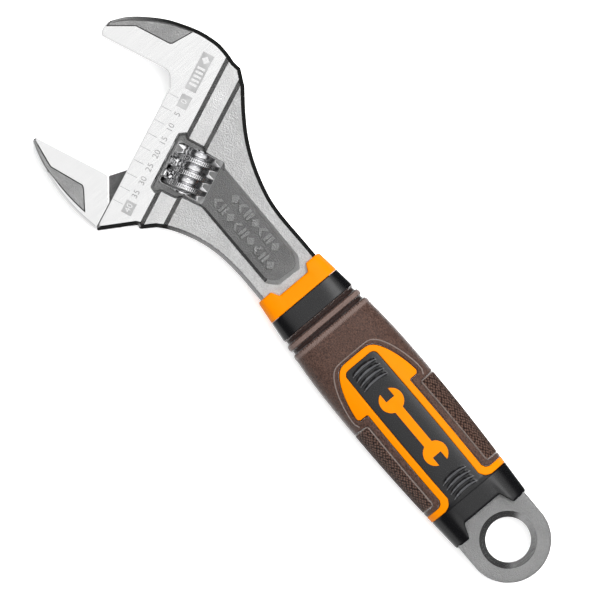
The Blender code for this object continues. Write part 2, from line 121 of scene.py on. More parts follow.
# Worm, pin and rack
WORM_P = 150.6
WORM_ENDS = (-67.4, -52.4)
WORM_R = 8.0
WORM_ROOT_R = 5.6
PITCH = 4.7
CREST_Q = -53.2
CREST_HALF = 0.7
FLANK_WIDTH = 1.15
KNURLS = 72
KNURL_DEPTH = 0.07
WORM_BORE_R = 2.3
PIN_R = 2.0
PIN_HEAD_R = 3.1
PIN_ENDS = (-75.0, -40.4)
PIN_HEAD_LENGTH = 2.2
RACK_P = 160.7
RACK_R = 3.8
RACK_INNER_Q = -61.9
RACK_SKEW = -0.1
BORE_R = 4.1
WEB_HALF = 2.2
SLOT_HALF = 2.6
WINDOW = ((142.3, -67.8), (159.0, -52.0))
GAP = 0.3
SEAM_GAP = 0.12  # between moulded layers whose edges should look closed

# Eye and neck
EYE_R = 14.4
HOLE_R = 7.6
HOLE_RIM_R = 9.7
HOLE_RIM_SLOPE = 0.67
TANG_HALF = 10.8
NECK_HALF = 11.9
NECK_X = 106.4
SHOULDER_X = 112.9  # a little inside the collar

# Grip form: half width, half depth and squareness of its section along the handle
GRIP_WIDTH = ((8.6, 15.2), (30, 16.4), (60, 17.05), (85, 16.3), (98, 15.0), (113.9, 13.2))
GRIP_DEPTH = ((8.6, 7.7), (30, 8.9), (60, 9.5), (85, 9.0), (98, 8.4), (113.9, 7.5))
GRIP_ROUNDNESS = ((8.6, 2.8), (60, 2.8), (85, 3.0), (98, 3.6), (113.9, 4.8))
GIRTH = 25.0  # the skin's unrolled coordinate v runs from -GIRTH to GIRTH over one face
SKIN_INSET = 0.06  # keeps the finer form inside the CAD's
CORE_DEPTH = 1.5
FRAME_X = 20.6
BAR_X = 23.0
RAIL_OUTER = 9.2
PANEL_HALF = 6.7
PANEL_END_X = 77.6
ARROW_X = 62.2
SHELL_X = (23.08, 98.6)
PAD_X = (24.8, 59.4)
PAD_INNER = 11.6
SHELL_GROOVES = (93.7, 97.5)
SHELL_RIDGES = (91.7, 95.6)
SEAMS = (60.9, 68.9)
BORDER = 1.25  # from the accent frame to the fine line round its arrow
RIBS = (22.6, 24.6, 26.6, 28.6, 69.3, 71.3, 73.3, 75.3)
RIB_HIGHLIGHT = 0.25  # the painted highlight band's offset from a rib's crest
EMBLEM_X = (33.5, 65.0)

# Scale
TICK_P = (165.6, 169.4)
SCALE_Q = -79.9  # the zero mark
SCALE_STEP = 5
DIGIT_P = 163.3
BLOCK_P = 163.25  # the filled squares and the maker's block
END_SQUARE_Q = {0: -79.65, 40: -39.75}

# Stage
FLOOR_GLOW = 0.45
PAINTED_SHADOW_SPOT = (9.5, 14)  # the floor's glow is left out this near the worm's middle: a painted shadow that keeps its window dark


# Outlines


def from_head(points):
    return [(p * COS - q * SIN, p * SIN + q * COS) for p, q in points]


def to_head(xy):
    return xy[:, 0] * COS + xy[:, 1] * SIN, xy[:, 1] * COS - xy[:, 0] * SIN


def arc(centre, radius, start, end, steps):
    angles = [math.radians(start + (end - start) * i / steps) for i in range(steps + 1)]
    return [(centre[0] + radius * math.cos(a), centre[1] + radius * math.sin(a)) for a in angles]


def box(left, low, right, high):
    return [(left, low), (right, low), (right, high), (left, high)]


def curve(points, steps=6):
    """A smooth curve through the points."""
    made = []
    for i in range(len(points) - 1):
        before = Vector(points[max(i - 1, 0)])
        a, b = Vector(points[i]), Vector(points[i + 1])
        after = Vector(points[min(i + 2, len(points) - 1)])
        for k in range(steps):
            t = k / steps
            bend = (2 * before - 5 * a + 4 * b - after) * t * t + (3 * a - before - 3 * b + after) * t ** 3
            made.append(tuple(a + ((b - before) * t + bend) / 2))
    return made + [tuple(points[-1])]


def rounded(outline, radius, steps=3):
    """The outline with its sharp corners cut to small arcs."""
    made = []
    count = len(outline)
    for i, corner in enumerate(outline):
        here = Vector(corner)
        back = Vector(outline[i - 1]) - here
        on = Vector(outline[(i + 1) % count]) - here
        turn = math.pi - back.angle(on, 0)
        reach = min(radius, back.length * 0.4, on.length * 0.4)
        if turn < math.radians(20):
            made.append(corner)
            continue
        a, b = here + back.normalized() * reach, here + on.normalized() * reach
        for k in range(steps + 1):
            t = k / steps
            made.append(tuple(a * (1 - t) ** 2 + here * 2 * t * (1 - t) + b * t * t))
    return made


def grown(outline, by):
    """A counter-clockwise outline with every side moved outwards."""
    made = []
    for i, corner in enumerate(outline):
        here = Vector(corner)
        along = (here - Vector(outline[i - 1])).normalized()
        onward = (Vector(outline[(i + 1) % len(outline)]) - here).normalized()
        normals = Vector((along.y, -along.x)), Vector((onward.y, -onward.x))
        middle = (normals[0] + normals[1]).normalized()
        made.append(tuple(here + middle * by / max(middle.dot(normals[0]), 0.3)))
    return made


def dense(line, step, closed=True):
    """The line with points no further apart than step."""
    made = []
    ends = list(line[1:]) + ([line[0]] if closed else [])
    for a, b in zip(line, ends):
        pieces = max(1, math.ceil(math.dist(a, b) / step))
        across, along = b[0] - a[0], b[1] - a[1]
        made += [(a[0] + across * k / pieces, a[1] + along * k / pieces) for k in range(pieces)]
    return made if closed else made + [line[-1]]


def distance(xy, line, closed=True):
    """Each point's distance to a line."""
    a = np.array(line)
    b = np.roll(a, -1, axis=0)
    if not closed:
        a, b = a[:-1], b[:-1]
    best = np.full(len(xy), 1e9)
    for (ax, ay), (bx, by) in zip(a, b):
        along = np.array((bx - ax, by - ay))
        length = max(along @ along, 1e-12)
        t = np.clip(((xy[:, 0] - ax) * along[0] + (xy[:, 1] - ay) * along[1]) / length, 0, 1)
        dx, dy = xy[:, 0] - ax - t * along[0], xy[:, 1] - ay - t * along[1]
        best = np.minimum(best, dx * dx + dy * dy)
    return np.sqrt(best)


def inside(xy, outline):
    """True for each point within the outline."""
    result = np.zeros(len(xy), bool)
    a = np.array(outline)
    for (ax, ay), (bx, by) in zip(a, np.roll(a, -1, axis=0)):
        if ay == by:
            continue
        crosses = (ay > xy[:, 1]) != (by > xy[:, 1])
        result ^= crosses & (xy[:, 0] < (bx - ax) * (xy[:, 1] - ay) / (by - ay) + ax)
    return result


def depth_inside(xy, outline):
    """Each point's distance into the outline, negative outside it."""
    return np.where(inside(xy, outline), 1, -1) * distance(xy, outline)


def smooth(t):
    t = np.clip(t, 0, 1)
    return t * t * (3 - 2 * t)


# Meshes


def new_object(name, verts, faces):
    mesh = bpy.data.meshes.new(name)
    mesh.from_pydata([tuple(v) for v in verts], [], faces)
    obj = bpy.data.objects.new(name, mesh)
    bpy.context.scene.collection.objects.link(obj)
    return obj


def cleaned(obj, loose=False, weld=0.0, outwards=True):
    """Drops loose points, joins points within weld of each other, and turns the faces outwards, as asked."""
    bm = bmesh.new()
    bm.from_mesh(obj.data)
    if loose:
        bmesh.ops.delete(bm, geom=[v for v in bm.verts if not v.link_faces], context="VERTS")
    if weld:
        bmesh.ops.remove_doubles(bm, verts=bm.verts, dist=weld)
    if outwards:
        bmesh.ops.recalc_face_normals(bm, faces=bm.faces)
    bm.to_mesh(obj.data)
    bm.free()
    return obj


def loft(name, rings, capped=True):
    count = len(rings[0])
    verts = [v for ring in rings for v in ring]
    faces = [tuple(range(count)), tuple(range(len(verts) - count, len(verts)))] if capped else []
    for r in range(len(rings) - 1):
        for i in range(count):
            j = (i + 1) % count
            faces.append((r * count + i, r * count + j, (r + 1) * count + j, (r + 1) * count + i))
    return cleaned(new_object(name, verts, faces))


def prism(name, outline, low, high):
    return loft(name, [[(x, y, z) for x, y in outline] for z in (low, high)])


def turned(name, p, sections, sides=48):
    """A round solid about the line at p, through sections of (q, radius)."""
    rings = []
    for q, radius in sections:
        ring = []
        for z, dp in arc((0, 0), radius, 0, 360 - 360 / sides, sides - 1):
            ring.append((*from_head([(p + dp, q)])[0], z))
        rings.append(ring)
    return loft(name, rings)


def cut(target, *others):
    """Takes the others out of the target, and removes them."""
    for other in others:
        modifier = target.modifiers.new("cut", "BOOLEAN")
        modifier.operation = "DIFFERENCE"
        modifier.solver = "EXACT"
        modifier.object = other
        bpy.context.view_layer.update()
        graph = bpy.context.evaluated_depsgraph_get()
        made = bpy.data.meshes.new_from_object(target.evaluated_get(graph))
        target.modifiers.clear()
        target.data = made
        bpy.data.objects.remove(other)


def merged(name, *objects):
    """One object made of all these, their materials kept."""
    bm = bmesh.new()
    mesh = bpy.data.meshes.new(name)
    for obj in objects:
        first = len(bm.faces)
        bm.from_mesh(obj.data)
        bm.faces.ensure_lookup_table()
        offset = len(mesh.materials)
        for face in bm.faces[first:]:
            face.material_index += offset
        for material in obj.data.materials:
            mesh.materials.append(material)
        bpy.data.objects.remove(obj)
    bm.to_mesh(mesh)
    bm.free()
    made = bpy.data.objects.new(name, mesh)
    bpy.context.scene.collection.objects.link(made)
    return made


def triangulated(loops, lines, points, step):
    """A flat mesh over all that the loops and lines span, with them as edges: (points, triangles)."""
    verts, edges = [], []
    for loop, closed in [(loop, True) for loop in loops] + [(line, False) for line in lines]:
        run = dense(loop, step, closed)
        first = len(verts)
        verts += run
        edges += [(first + i, first + i + 1) for i in range(len(run) - 1)]
        if closed:
            edges.append((first + len(run) - 1, first))
    verts += [tuple(point) for point in points]
    made = delaunay_2d_cdt([Vector(v) for v in verts], edges, [], 0, 1e-5)
    return np.array([tuple(v) for v in made[0]]), [tuple(face) for face in made[2]]


def open_edges(faces):
    """Directed edges that only one face uses."""
    seen = {}
    for face in faces:
        for a, b in zip(face, face[1:] + face[:1]):
            seen[(a, b)] = seen.get((a, b), 0) + 1
    return [(a, b) for a, b in seen if (b, a) not in seen]


def relief_solid(name, outline, holes, lines, height, step=1.5):
    """A solid inside the outline and outside the holes, with faces at z = height(xy) and -height(xy)."""
    xy, faces = triangulated([outline] + holes, lines, [], step)
    middle = np.array([xy[list(face)].mean(axis=0) for face in faces])
    keep = inside(middle, outline)
    for hole in holes:
        keep &= ~inside(middle, hole)
    faces = [face for face, kept in zip(faces, keep) if kept]
    z = height(xy)
    count = len(xy)
    verts = [(x, y, h) for (x, y), h in zip(xy, z)] + [(x, y, -h) for (x, y), h in zip(xy, z)]
    under = [tuple(i + count for i in reversed(face)) for face in faces]
    walls = [(b, a, a + count, b + count) for a, b in open_edges(faces)]
    return cleaned(new_object(name, verts, faces + under + walls), loose=True, outwards=False)


# Materials


def node_material(name, base, roughness, metallic=0.0):
    """A Principled material and the tools to wire it: (material, add, link, shader)."""
    made = bpy.data.materials.new(name)
    made.use_nodes = True
    tree = made.node_tree
    shader = tree.nodes["Principled BSDF"]
    shader.inputs["Base Color"].default_value = (*base, 1)
    shader.inputs["Roughness"].default_value = roughness
    shader.inputs["Metallic"].default_value = metallic

    def add(kind, **settings):
        node = tree.nodes.new(kind)
        for key, value in settings.items():
            if hasattr(node, key):
                setattr(node, key, value)
            else:
                node.inputs[key.replace("_", " ")].default_value = value
        return node

    return made, add, tree.links.new, shader


def grain(add, link, coordinates, scale, detail=3.0):
    """A noise texture in object space."""
    noise = add("ShaderNodeTexNoise", Scale=scale, Detail=detail)
    link(coordinates, noise.inputs["Vector"])
    return noise.outputs["Fac"]


def ranged(add, link, value, low, high, start=0.3, end=0.7):
    node = add("ShaderNodeMapRange")
    link(value, node.inputs["Value"])
    for socket, number in zip(("From Min", "From Max", "To Min", "To Max"), (start, end, low, high)):
        node.inputs[socket].default_value = number
    return node.outputs["Result"]


def mixed(add, link, factor, a, b):
    node = add("ShaderNodeMix", data_type="RGBA")
    link(factor, node.inputs[0])
    node.inputs[6].default_value = (*a, 1)
    node.inputs[7].default_value = (*b, 1)
    return node.outputs[2]


def bumped(add, link, shader, height, strength, distance):
    node = add("ShaderNodeBump", Strength=strength, Distance=distance)
    link(height, node.inputs["Height"])
    link(node.outputs["Normal"], shader.inputs["Normal"])


def steel(name, shade, roughness, grit, fine=2600.0):
    """Steel with a shot-blasted or cast grain."""
    spread = 0.10 * shade * (1 if grit > 0 else 0.3)
    base = (shade, shade, shade)
    material, add, link, shader = node_material(name, base, roughness, 1.0)
    place = add("ShaderNodeTexCoord").outputs["Object"]
    speckle = ranged(add, link, grain(add, link, place, fine), 0.0, 1.0, 0.34, 0.66)
    light = (shade + spread, shade + spread, shade + spread * 0.98)
    tone = mixed(add, link, speckle, (shade - spread,) * 3, light)
    link(tone, shader.inputs["Base Color"])
    cloud = grain(add, link, place, 180.0)
    link(ranged(add, link, cloud, roughness * 0.85, roughness * 1.2), shader.inputs["Roughness"])
    if grit > 0:
        bumped(add, link, shader, speckle, grit, 0.0002)
    return material


def polished_steel():
    """Ground and polished steel with faint grinding lines across the strip."""
    material, add, link, shader = node_material("polished_steel", (0.92, 0.92, 0.92), 0.17, 1.0)
    place = add("ShaderNodeTexCoord").outputs["Object"]
    turn = add("ShaderNodeMapping")
    turn.inputs["Rotation"].default_value = (0, 0, -HEAD_ANGLE)
    turn.inputs["Scale"].default_value = (4000, 130, 1000)
    link(place, turn.inputs["Vector"])
    lines = grain(add, link, turn.outputs["Vector"], 1.0, 2.0)
    link(mixed(add, link, lines, (0.77, 0.77, 0.775), (0.86, 0.86, 0.855)), shader.inputs["Base Color"])
    link(ranged(add, link, lines, 0.13, 0.24), shader.inputs["Roughness"])
    bumped(add, link, shader, lines, 0.04, 0.0001)
    return material


def chrome():
    material, add, link, shader = node_material("chrome", (0.74, 0.74, 0.75), 0.16, 1.0)
    place = add("ShaderNodeTexCoord").outputs["Object"]
    cloud = grain(add, link, place, 900.0)
    link(ranged(add, link, cloud, 0.10, 0.22), shader.inputs["Roughness"])
    bumped(add, link, shader, cloud, 0.05, 0.0002)
    return material


def rubber(name, dark, light, stipple):
    """Soft rubber with a fine moulded stipple."""
    material, add, link, shader = node_material(name, dark, 0.62)
    place = add("ShaderNodeTexCoord").outputs["Object"]
    cells = add("ShaderNodeTexVoronoi", Scale=stipple)
    link(place, cells.inputs["Vector"])
    fine = ranged(add, link, grain(add, link, place, stipple * 1.4), 0.0, 1.0, 0.36, 0.64)
    shader.inputs["Specular IOR Level"].default_value = 0.45
    shader.inputs["Sheen Weight"].default_value = 0.6
    shader.inputs["Sheen Roughness"].default_value = 0.3
    link(mixed(add, link, fine, dark, light), shader.inputs["Base Color"])
    link(ranged(add, link, fine, 0.5, 0.75), shader.inputs["Roughness"])
    bumped(add, link, shader, cells.outputs["Distance"], 0.5, 0.0003)
    return material


def knit_rubber(dark, light):
    """The side pads' rubber: staggered rows of small beads, laid out by the skin's own coordinates."""
    material, add, link, shader = node_material("pad_rubber", dark, 0.6)
    shader.inputs["Specular IOR Level"].default_value = 0.35
    turn = add("ShaderNodeMapping")
    turn.inputs["Rotation"].default_value = (0, 0, math.radians(45))
    turn.inputs["Scale"].default_value = (0.95, 0.95, 1.0)
    link(add("ShaderNodeUVMap", uv_map="skin").outputs["UV"], turn.inputs["Vector"])
    beads = add("ShaderNodeTexVoronoi", Scale=1.0, Randomness=0.35)
    beads.voronoi_dimensions = "2D"
    link(turn.outputs["Vector"], beads.inputs["Vector"])
    height = ranged(add, link, beads.outputs["Distance"], 1.0, 0.0, 0.1, 0.6)
    # The colour follows the bead height: bead tops lighter and the gaps between beads near black, painted
    # shade.
    link(mixed(add, link, height, dark, light), shader.inputs["Base Color"])
    bumped(add, link, shader, height, 0.9, 0.0005)
    return material


def plastic(name, color, shine, roughness, specular, mottle=0.1):
    material, add, link, shader = node_material(name, color, roughness)
    shader.inputs["Specular IOR Level"].default_value = specular
    place = add("ShaderNodeTexCoord").outputs["Object"]
    cloud = grain(add, link, place, 350.0)
    link(mixed(add, link, cloud, color, shine), shader.inputs["Base Color"])
    fine = grain(add, link, place, 4500.0)
    link(ranged(add, link, fine, roughness - 0.05, roughness + 0.08), shader.inputs["Roughness"])
    bumped(add, link, shader, fine, mottle, 0.0001)
    return material


# Finishing


def finished(obj, body, nodes, materials=(), sharp=22, weighted=True):
    """Puts the object in metres in the row frame, shades it, hangs it on its body and hides the CAD parts it
    stands for.
    """
    obj.data.transform(Matrix.Scale(MM, 4) @ Matrix.Translation(-ORIGIN))
    if materials:
        obj.data.materials.clear()
        for material in materials:
            obj.data.materials.append(material)
    obj.data.shade_smooth()
    obj.data.set_sharp_from_angle(angle=math.radians(sharp))
    if weighted:
        obj.modifiers.new("weighted", "WEIGHTED_NORMAL").keep_sharp = True
    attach(obj, body)
    if nodes:
        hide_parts(*nodes)
    return obj


def paint(obj, materials, choose):
    """Gives the object its materials, and each face the one that choose(centres) says."""
    mesh = obj.data
    for material in materials:
        mesh.materials.append(material)
    count = len(mesh.polygons)
    centres = np.empty(count * 3)
    mesh.polygons.foreach_get("center", centres)
    index = choose(centres.reshape(-1, 3)).astype(np.int32)
    mesh.polygons.foreach_set("material_index", index)


# The steel

BODY_PAINTS = ("cast", "polished", "dark", "tail", "edge", "boss", "pocket", "wall", "step")


def body_edge():
    """The wrench body's outline, in two parts: (forged edge, machined mouth)."""
    lower_neck = curve([(120, -NECK_HALF), (131, -11.8), (138, -12.4), (145, -14.1), (152, -16.6),
                        (159, -20.1), (166, -24.8), (172.5, -29.9)])
    jaw_back = curve([(151.9, -98.3), (152.8, -98.5), (155, -99.2), (157, -100.3), (160, -101.6),
                      (163.3, -102.5), (169, -103.0), (174, -102.6), (180, -101.6), (185, -100.0),
                      (190, -97.8), (193.8, -95.6), (197.3, -92.5)], 4)
    tip = curve([(197.3, -92.5), (198.3, -90.6), (198.5, -88.6), (198.3, -87.4)], 3)
    corner = curve([(174.2, FIXED_FACE_Q), (172.4, -85.9), (170.9, -84.0), (THROAT_P, -81.4)])
    throat = [(197.6, FIXED_FACE_Q)] + corner + [(THROAT_P, -28.8)]
    strip_end = [(169.1, -28.25), (158.6, -35.8), (157.9, -36.0), (157.0, -35.3), (156.2, -35.6)]
    upper_neck = curve([(155.3, 22.9), (152.2, 20.3), (147, 17.2), (141, 14.6), (134, 12.8),
                        (126, 12.0), (120, NECK_HALF)])
    tang = [(SHOULDER_X, NECK_HALF), (SHOULDER_X, TANG_HALF), (13.6, TANG_HALF), (8.6, EYE_R)]
    lower = [(x, -y) for x, y in reversed(tang)] + lower_neck + from_head(jaw_back)
    mouth = from_head(tip[1:] + throat)
    upper = from_head(strip_end) + upper_neck + tang + arc((0, 0), EYE_R, 90, 270, 60)[1:-1]
    return lower, mouth, upper


def fixed_pocket():
    rim = curve([(171.2, -101.75), (175, -101.3), (180, -100.4), (185, -98.8), (190, -96.6), (194, -94.4),
                 (197.6, -91.7)])
    return from_head(rim + [(198.1, -89.9), (189.2, -94.5), (176.4, -94.5), (175.6, -95.0)])


def jaw_pocket():
    rim = curve([(201.9, -44.8), (198.4, -41.9), (195.2, -39.5), (192.2, -37.9), (190, -36.9), (185, -34.7),
                 (180, -32.9), (175.4, -31.6)])
    return from_head([(179.4, -38.5), (180.4, -39.5), (192.7, -40.1), (196.7, -42.6), (201.1, -45.4)] + rim)


def panel_edge():
    """The long sunk panel on the neck, which runs into the thumb relief: (upper edge, floor)."""
    upper = [(113.9, -4.9), (117.5, -7.3), (140, -7.4), (158.5, -7.3), (158.5, 7.6), (150.2, 7.1),
             (117.6, 7.1), (114.3, 4.2)]
    floor = [(115.3, -4.3), (118.4, -6.2), (140, -6.4), (158.4, -6.4), (158.4, 6.2), (118.6, 5.9),
             (115.7, 3.4)]
    return rounded(upper, 0.8), rounded(floor, 1.2)


def panel_sunk(xy):
    """0 outside the panel, rising to 1 over its sloping wall."""
    upper, floor = panel_edge()
    past, short = depth_inside(xy, upper), np.where(inside(xy, floor), 0, distance(xy, floor))
    return np.where(past > 0, past / np.maximum(past + short, 1e-6), 0)


def relief_edge():
    """The shallow thumb relief round the worm's window."""
    return from_head([(138.0, -62.0), (141.9, -67.9), (149.0, -68.2), (150.4, -69.6), (156.3, -69.6),
                      (157.6, -71.2), (160.2, -69.5), (160.2, -49.2), (157.8, -47.9), (156.6, -49.5),
                      (150.8, -49.6), (149.6, -50.9), (140.2, -51.1)])


def window_edge():
    low, high = WINDOW
    return from_head(rounded(box(*low, *high), 0.8))


def body_level(xy):
    """The forged levels before any edge is broken."""
    p = to_head(xy)[0]
    steps = np.interp(p, BOSS_STEP + FACE_STEP, (BODY_Z, BOSS_Z, BOSS_Z, FACE_Z))
    return np.where(xy[:, 0] < NECK_X, TANG_Z, steps)


def broken(z, xy, line, edge, closed=False):
    """Heights with the edge along a line rounded off by edge = (width, drop)."""
    width, drop = edge
    return z - drop * (1 - np.clip(distance(xy, line, closed) / width, 0, 1)) ** 1.2


def body_height(xy):
    lower, mouth, upper = body_edge()
    z = body_level(xy)
    forged = upper + lower
    z = np.where(xy[:, 0] < TAIL_END_X, broken(z, xy, forged, TAIL_RIM), broken(z, xy, forged, RIM))
    z = broken(z, xy, mouth, EDGE)
    pocket = np.clip(depth_inside(xy, fixed_pocket()) / POCKET_WALL, 0, 1)
    z = np.minimum(z, FACE_Z - POCKET_DEPTH * pocket)
    panel = panel_sunk(xy)
    relief = smooth(depth_inside(xy, rounded(relief_edge(), 0.6)) / RELIEF_WALL)
    z = np.minimum(z - (z - PANEL_Z) * panel, z - (z - RELIEF_Z) * relief)
    radius = np.hypot(xy[:, 0], xy[:, 1])
    rim = TANG_Z - (HOLE_RIM_R - radius) * HOLE_RIM_SLOPE
    return np.where(radius < HOLE_RIM_R + 0.01, np.minimum(z, rim), z)


def slot_cutter():
    outline = from_head([(RACK_P, -98.6), (163.0, -98.6), (175.1, -86.5), (175.1, -84.0),
                         (176.0, -80.0), (176.0, -20.0), (RACK_P, -20.0)])
    return prism("slot", outline, -SLOT_HALF, SLOT_HALF)


def make_body(steels):
    lower, mouth, upper = body_edge()
    outline = lower + mouth + upper
    eye = arc((0, 0), HOLE_R, 0, 354, 59)
    rim = arc((0, 0), HOLE_RIM_R, 0, 354, 59)
    panel, floor = panel_edge()
    relief, pocket = rounded(relief_edge(), 0.6), fixed_pocket()
    steps = [from_head([(p, -110), (p, -20)]) for p in BOSS_STEP + FACE_STEP]
    neck = [[(NECK_X - 0.02, -20), (NECK_X - 0.02, 20)], [(NECK_X + 0.02, -20), (NECK_X + 0.02, 20)]]
    loops = [grown(outline, -by) for by in RIM_LOOPS] + [rim, panel, relief, pocket]
    loops += [floor, grown(floor, 0.4), grown(floor, 0.8), grown(panel, -0.12), grown(floor, 0.1)]
    loops += [grown(relief, -RELIEF_WALL * part) for part in (0.33, 0.66, 1)] + [grown(pocket, -POCKET_WALL)]
    lines = steps + neck + [loop + loop[:1] for loop in loops]
    body = relief_solid("body", outline, [eye, window_edge()], lines, body_height)
    cut(body, slot_cutter())
    cut(body, turned("rack_bore", RACK_P, [(-115, BORE_R), (-20, BORE_R)]))
    cut(body, turned("pin_hole", WORM_P, [(PIN_ENDS[0] - 0.4, PIN_R + GAP), (-30, PIN_R + GAP)], 32))
    head_floor = PIN_ENDS[1] - PIN_HEAD_LENGTH - GAP
    cut(body, turned("pin_seat", WORM_P, [(head_floor, PIN_HEAD_R + GAP), (-30, PIN_HEAD_R + GAP)], 32))

    forged = upper + lower

    def choose(centres):
        xy = centres[:, :2]
        p = to_head(xy)[0]
        slope = panel_sunk(xy)
        sunk = np.maximum((slope > 0.97) * 1.0, depth_inside(xy, relief) / RELIEF_WALL)
        number = {name: i for i, name in enumerate(BODY_PAINTS)}
        index = np.where(p > FACE_STEP[1] - 0.1, number["polished"], number["cast"])
        index[(p > BOSS_STEP[1]) & (p < FACE_STEP[0])] = number["boss"]
        # The walls of the two steps get a darker steel: painted shade along the steps.
        for low, high in (BOSS_STEP, FACE_STEP):
            index[(p > low) & (p < high)] = number["step"]
        # The rounded forged rim gets the darker edge steel: a painted dark reflection along the outline.
        index[distance(xy, forged, closed=False) < RIM[0] * 0.95] = number["edge"]
        # Pocket walls get the near-black wall steel: painted shade inside the recess.
        sunk_in = depth_inside(xy, pocket)
        index[sunk_in > 0.02] = number["wall"]
        outer = distance(xy, forged, closed=False) < POCKET_RIM
        index[(sunk_in > POCKET_WALL - 0.05) | ((sunk_in > 0.02) & outer)] = number["pocket"]
        index[np.hypot(xy[:, 0], xy[:, 1]) < HOLE_RIM_R] = number["polished"]
        # The panel's sloping wall on the +y side gets the same darker steel: painted shade on the side turned
        # from the light.
        index[(slope > 0.05) & (xy[:, 1] > 5.6) & (xy[:, 0] > 118)] = number["edge"]
        index[sunk > 0.75] = number["dark"]
        index[(xy[:, 0] < TAIL_END_X) & (index != number["polished"])] = number["tail"]
        return index

    paint(body, [steels[name] for name in BODY_PAINTS], choose)
    return finished(body, "handle", ["wrench_body"])


def jaw_edge():
    back = curve([(202.2, -45.0), (199.8, -42.1), (195, -38.5), (190, -35.5), (185, -33.0), (180, -31.0),
                  (175, -29.5), (170.6, -28.5)])
    heel = THROAT_P + GAP
    face = [(heel, -28.9), (heel, -38.3), (174.1, -46.2), (174.9, MOVING_FACE_Q), (201.3, MOVING_FACE_Q)]
    return from_head(back), from_head(face)


def jaw_height(xy):
    back, face = jaw_edge()
    z = np.full(len(xy), FACE_Z)
    z = broken(z, xy, back, (0.9, 0.75))
    z = broken(z, xy, face, EDGE)
    pocket = np.clip(depth_inside(xy, jaw_pocket()) / POCKET_WALL, 0, 1)
    return np.minimum(z, FACE_Z - POCKET_DEPTH * pocket)


def rack_groove(q):
    """Room for one turn of the thread, leaning with it."""
    rings = []
    for z in (-6, 6):
        section = []
        for p in (156.0, 159.0):
            half = CREST_HALF + GAP + 0.458 * (WORM_P + WORM_R - p) + 0.05
            section += [(p, q + RACK_SKEW * z - half), (p, q + RACK_SKEW * z + half)]
        section = [section[0], section[2], section[3], section[1]]
        rings.append([(x, y, z) for x, y in from_head(section)])
    return loft("groove", rings)


def make_jaw(steels):
    back, face = jaw_edge()
    outline, pocket = back + face, jaw_pocket()
    loops = [grown(outline, -by) for by in (0.3, 0.6, 0.9)] + [pocket, grown(pocket, -POCKET_WALL)]
    jaw = relief_solid("jaw", outline, [], [loop + loop[:1] for loop in loops], jaw_height, 0.7)

    def choose(centres):
        xy = centres[:, :2]
        # Pocket walls get the near-black wall steel as painted shade, except near the jaw's back.
        sunk_in = depth_inside(xy, pocket)
        outer = distance(xy, back, closed=False) < POCKET_RIM
        return (sunk_in > 0.02) * np.where(outer | (sunk_in > POCKET_WALL - 0.05), 2, 1)

    paint(jaw, (steels["polished"], steels["wall"], steels["pocket"]), choose)
    web = from_head([(174.2, -46.2), (163.0, -57.4), (RACK_P, -57.4), (RACK_P, -35.0), (169.6, -29.2),
                     (172.0, -30.5), (175.5, -40.0)])
    plate = prism("web", web, -WEB_HALF, WEB_HALF)
    # The web is given a very dark steel: painted shade, as it sits deep in the slot.
    plate.data.materials.append(steels["web"])
    sections = [(RACK_INNER_Q, RACK_R - 0.6), (RACK_INNER_Q + 0.6, RACK_R), (-28.0, RACK_R)]
    rod = turned("rod", RACK_P, sections, 64)
    beyond = from_head([(154.0, -39.7), (THROAT_P, -28.5), (THROAT_P, -15.0), (154.0, -15.0)])
    cut(rod, prism("beyond_the_head", beyond, -6, 6))
    cut(rod, *[rack_groove(CREST_Q + PITCH * k) for k in range(-2, 4)])

    # The rack's grooves get the near-black wall steel: painted shade between the teeth.
    def hollow(centres):
        p = to_head(centres[:, :2])[0]
        return np.hypot(p - RACK_P, centres[:, 2]) < RACK_R - 0.15

    paint(rod, (steels["polished"], steels["wall"]), hollow)
    whole = merged("movable_jaw_steel", jaw, plate, rod)
    return finished(whole, "jaw", ["movable_jaw"])


def make_worm(material):
    """The knurled worm, as one helical surface.

    Its bore is a cone, not a cylinder: the ring at the bore's second end comes before the thread's last row.
    """
    around, along = 288, 130
    theta = np.arange(around) * 2 * np.pi / around
    qs = np.linspace(*WORM_ENDS, along)
    angle, q = np.meshgrid(theta, qs)
    turn = (q - CREST_Q) / PITCH - angle / (2 * np.pi) + 0.25
    off = np.abs(turn - np.round(turn)) * PITCH
    crest = 1 - smooth((off - CREST_HALF) / FLANK_WIDTH)
    knurl = np.abs(np.sin(angle * KNURLS / 2)) ** 1.5
    on_top = 1 - smooth((off - CREST_HALF * 0.6) / 0.5)
    radius = WORM_ROOT_R + (WORM_R - WORM_ROOT_R) * crest - KNURL_DEPTH * (1 - knurl) * on_top
    radius -= 0.15 * (off < 0.12) * on_top
    from_end = np.minimum(q - WORM_ENDS[0], WORM_ENDS[1] - q)
    radius = np.minimum(radius, WORM_R - 0.6 * (1 - np.clip(from_end / 0.6, 0, 1)))
    rings = []
    for row in range(along):
        flat = from_head(list(zip(WORM_P + radius[row] * np.sin(theta), qs[row] + 0 * theta)))
        rings.append([(x, y, z) for (x, y), z in zip(flat, radius[row] * np.cos(theta))])
    for q_end, place in ((WORM_ENDS[0], 0), (WORM_ENDS[1], len(rings))):
        flat = from_head(list(zip(WORM_P + WORM_BORE_R * np.sin(theta), q_end + 0 * theta)))
        rings.insert(place, [(x, y, z) for (x, y), z in zip(flat, WORM_BORE_R * np.cos(theta))])
    rings.append(rings[0])
    worm = loft("adjusting_worm_knurled", rings, capped=False)
    cleaned(worm, weld=1e-5)
    return finished(worm, "worm", ["adjusting_worm"], [material], sharp=50, weighted=False)


# The grip's form


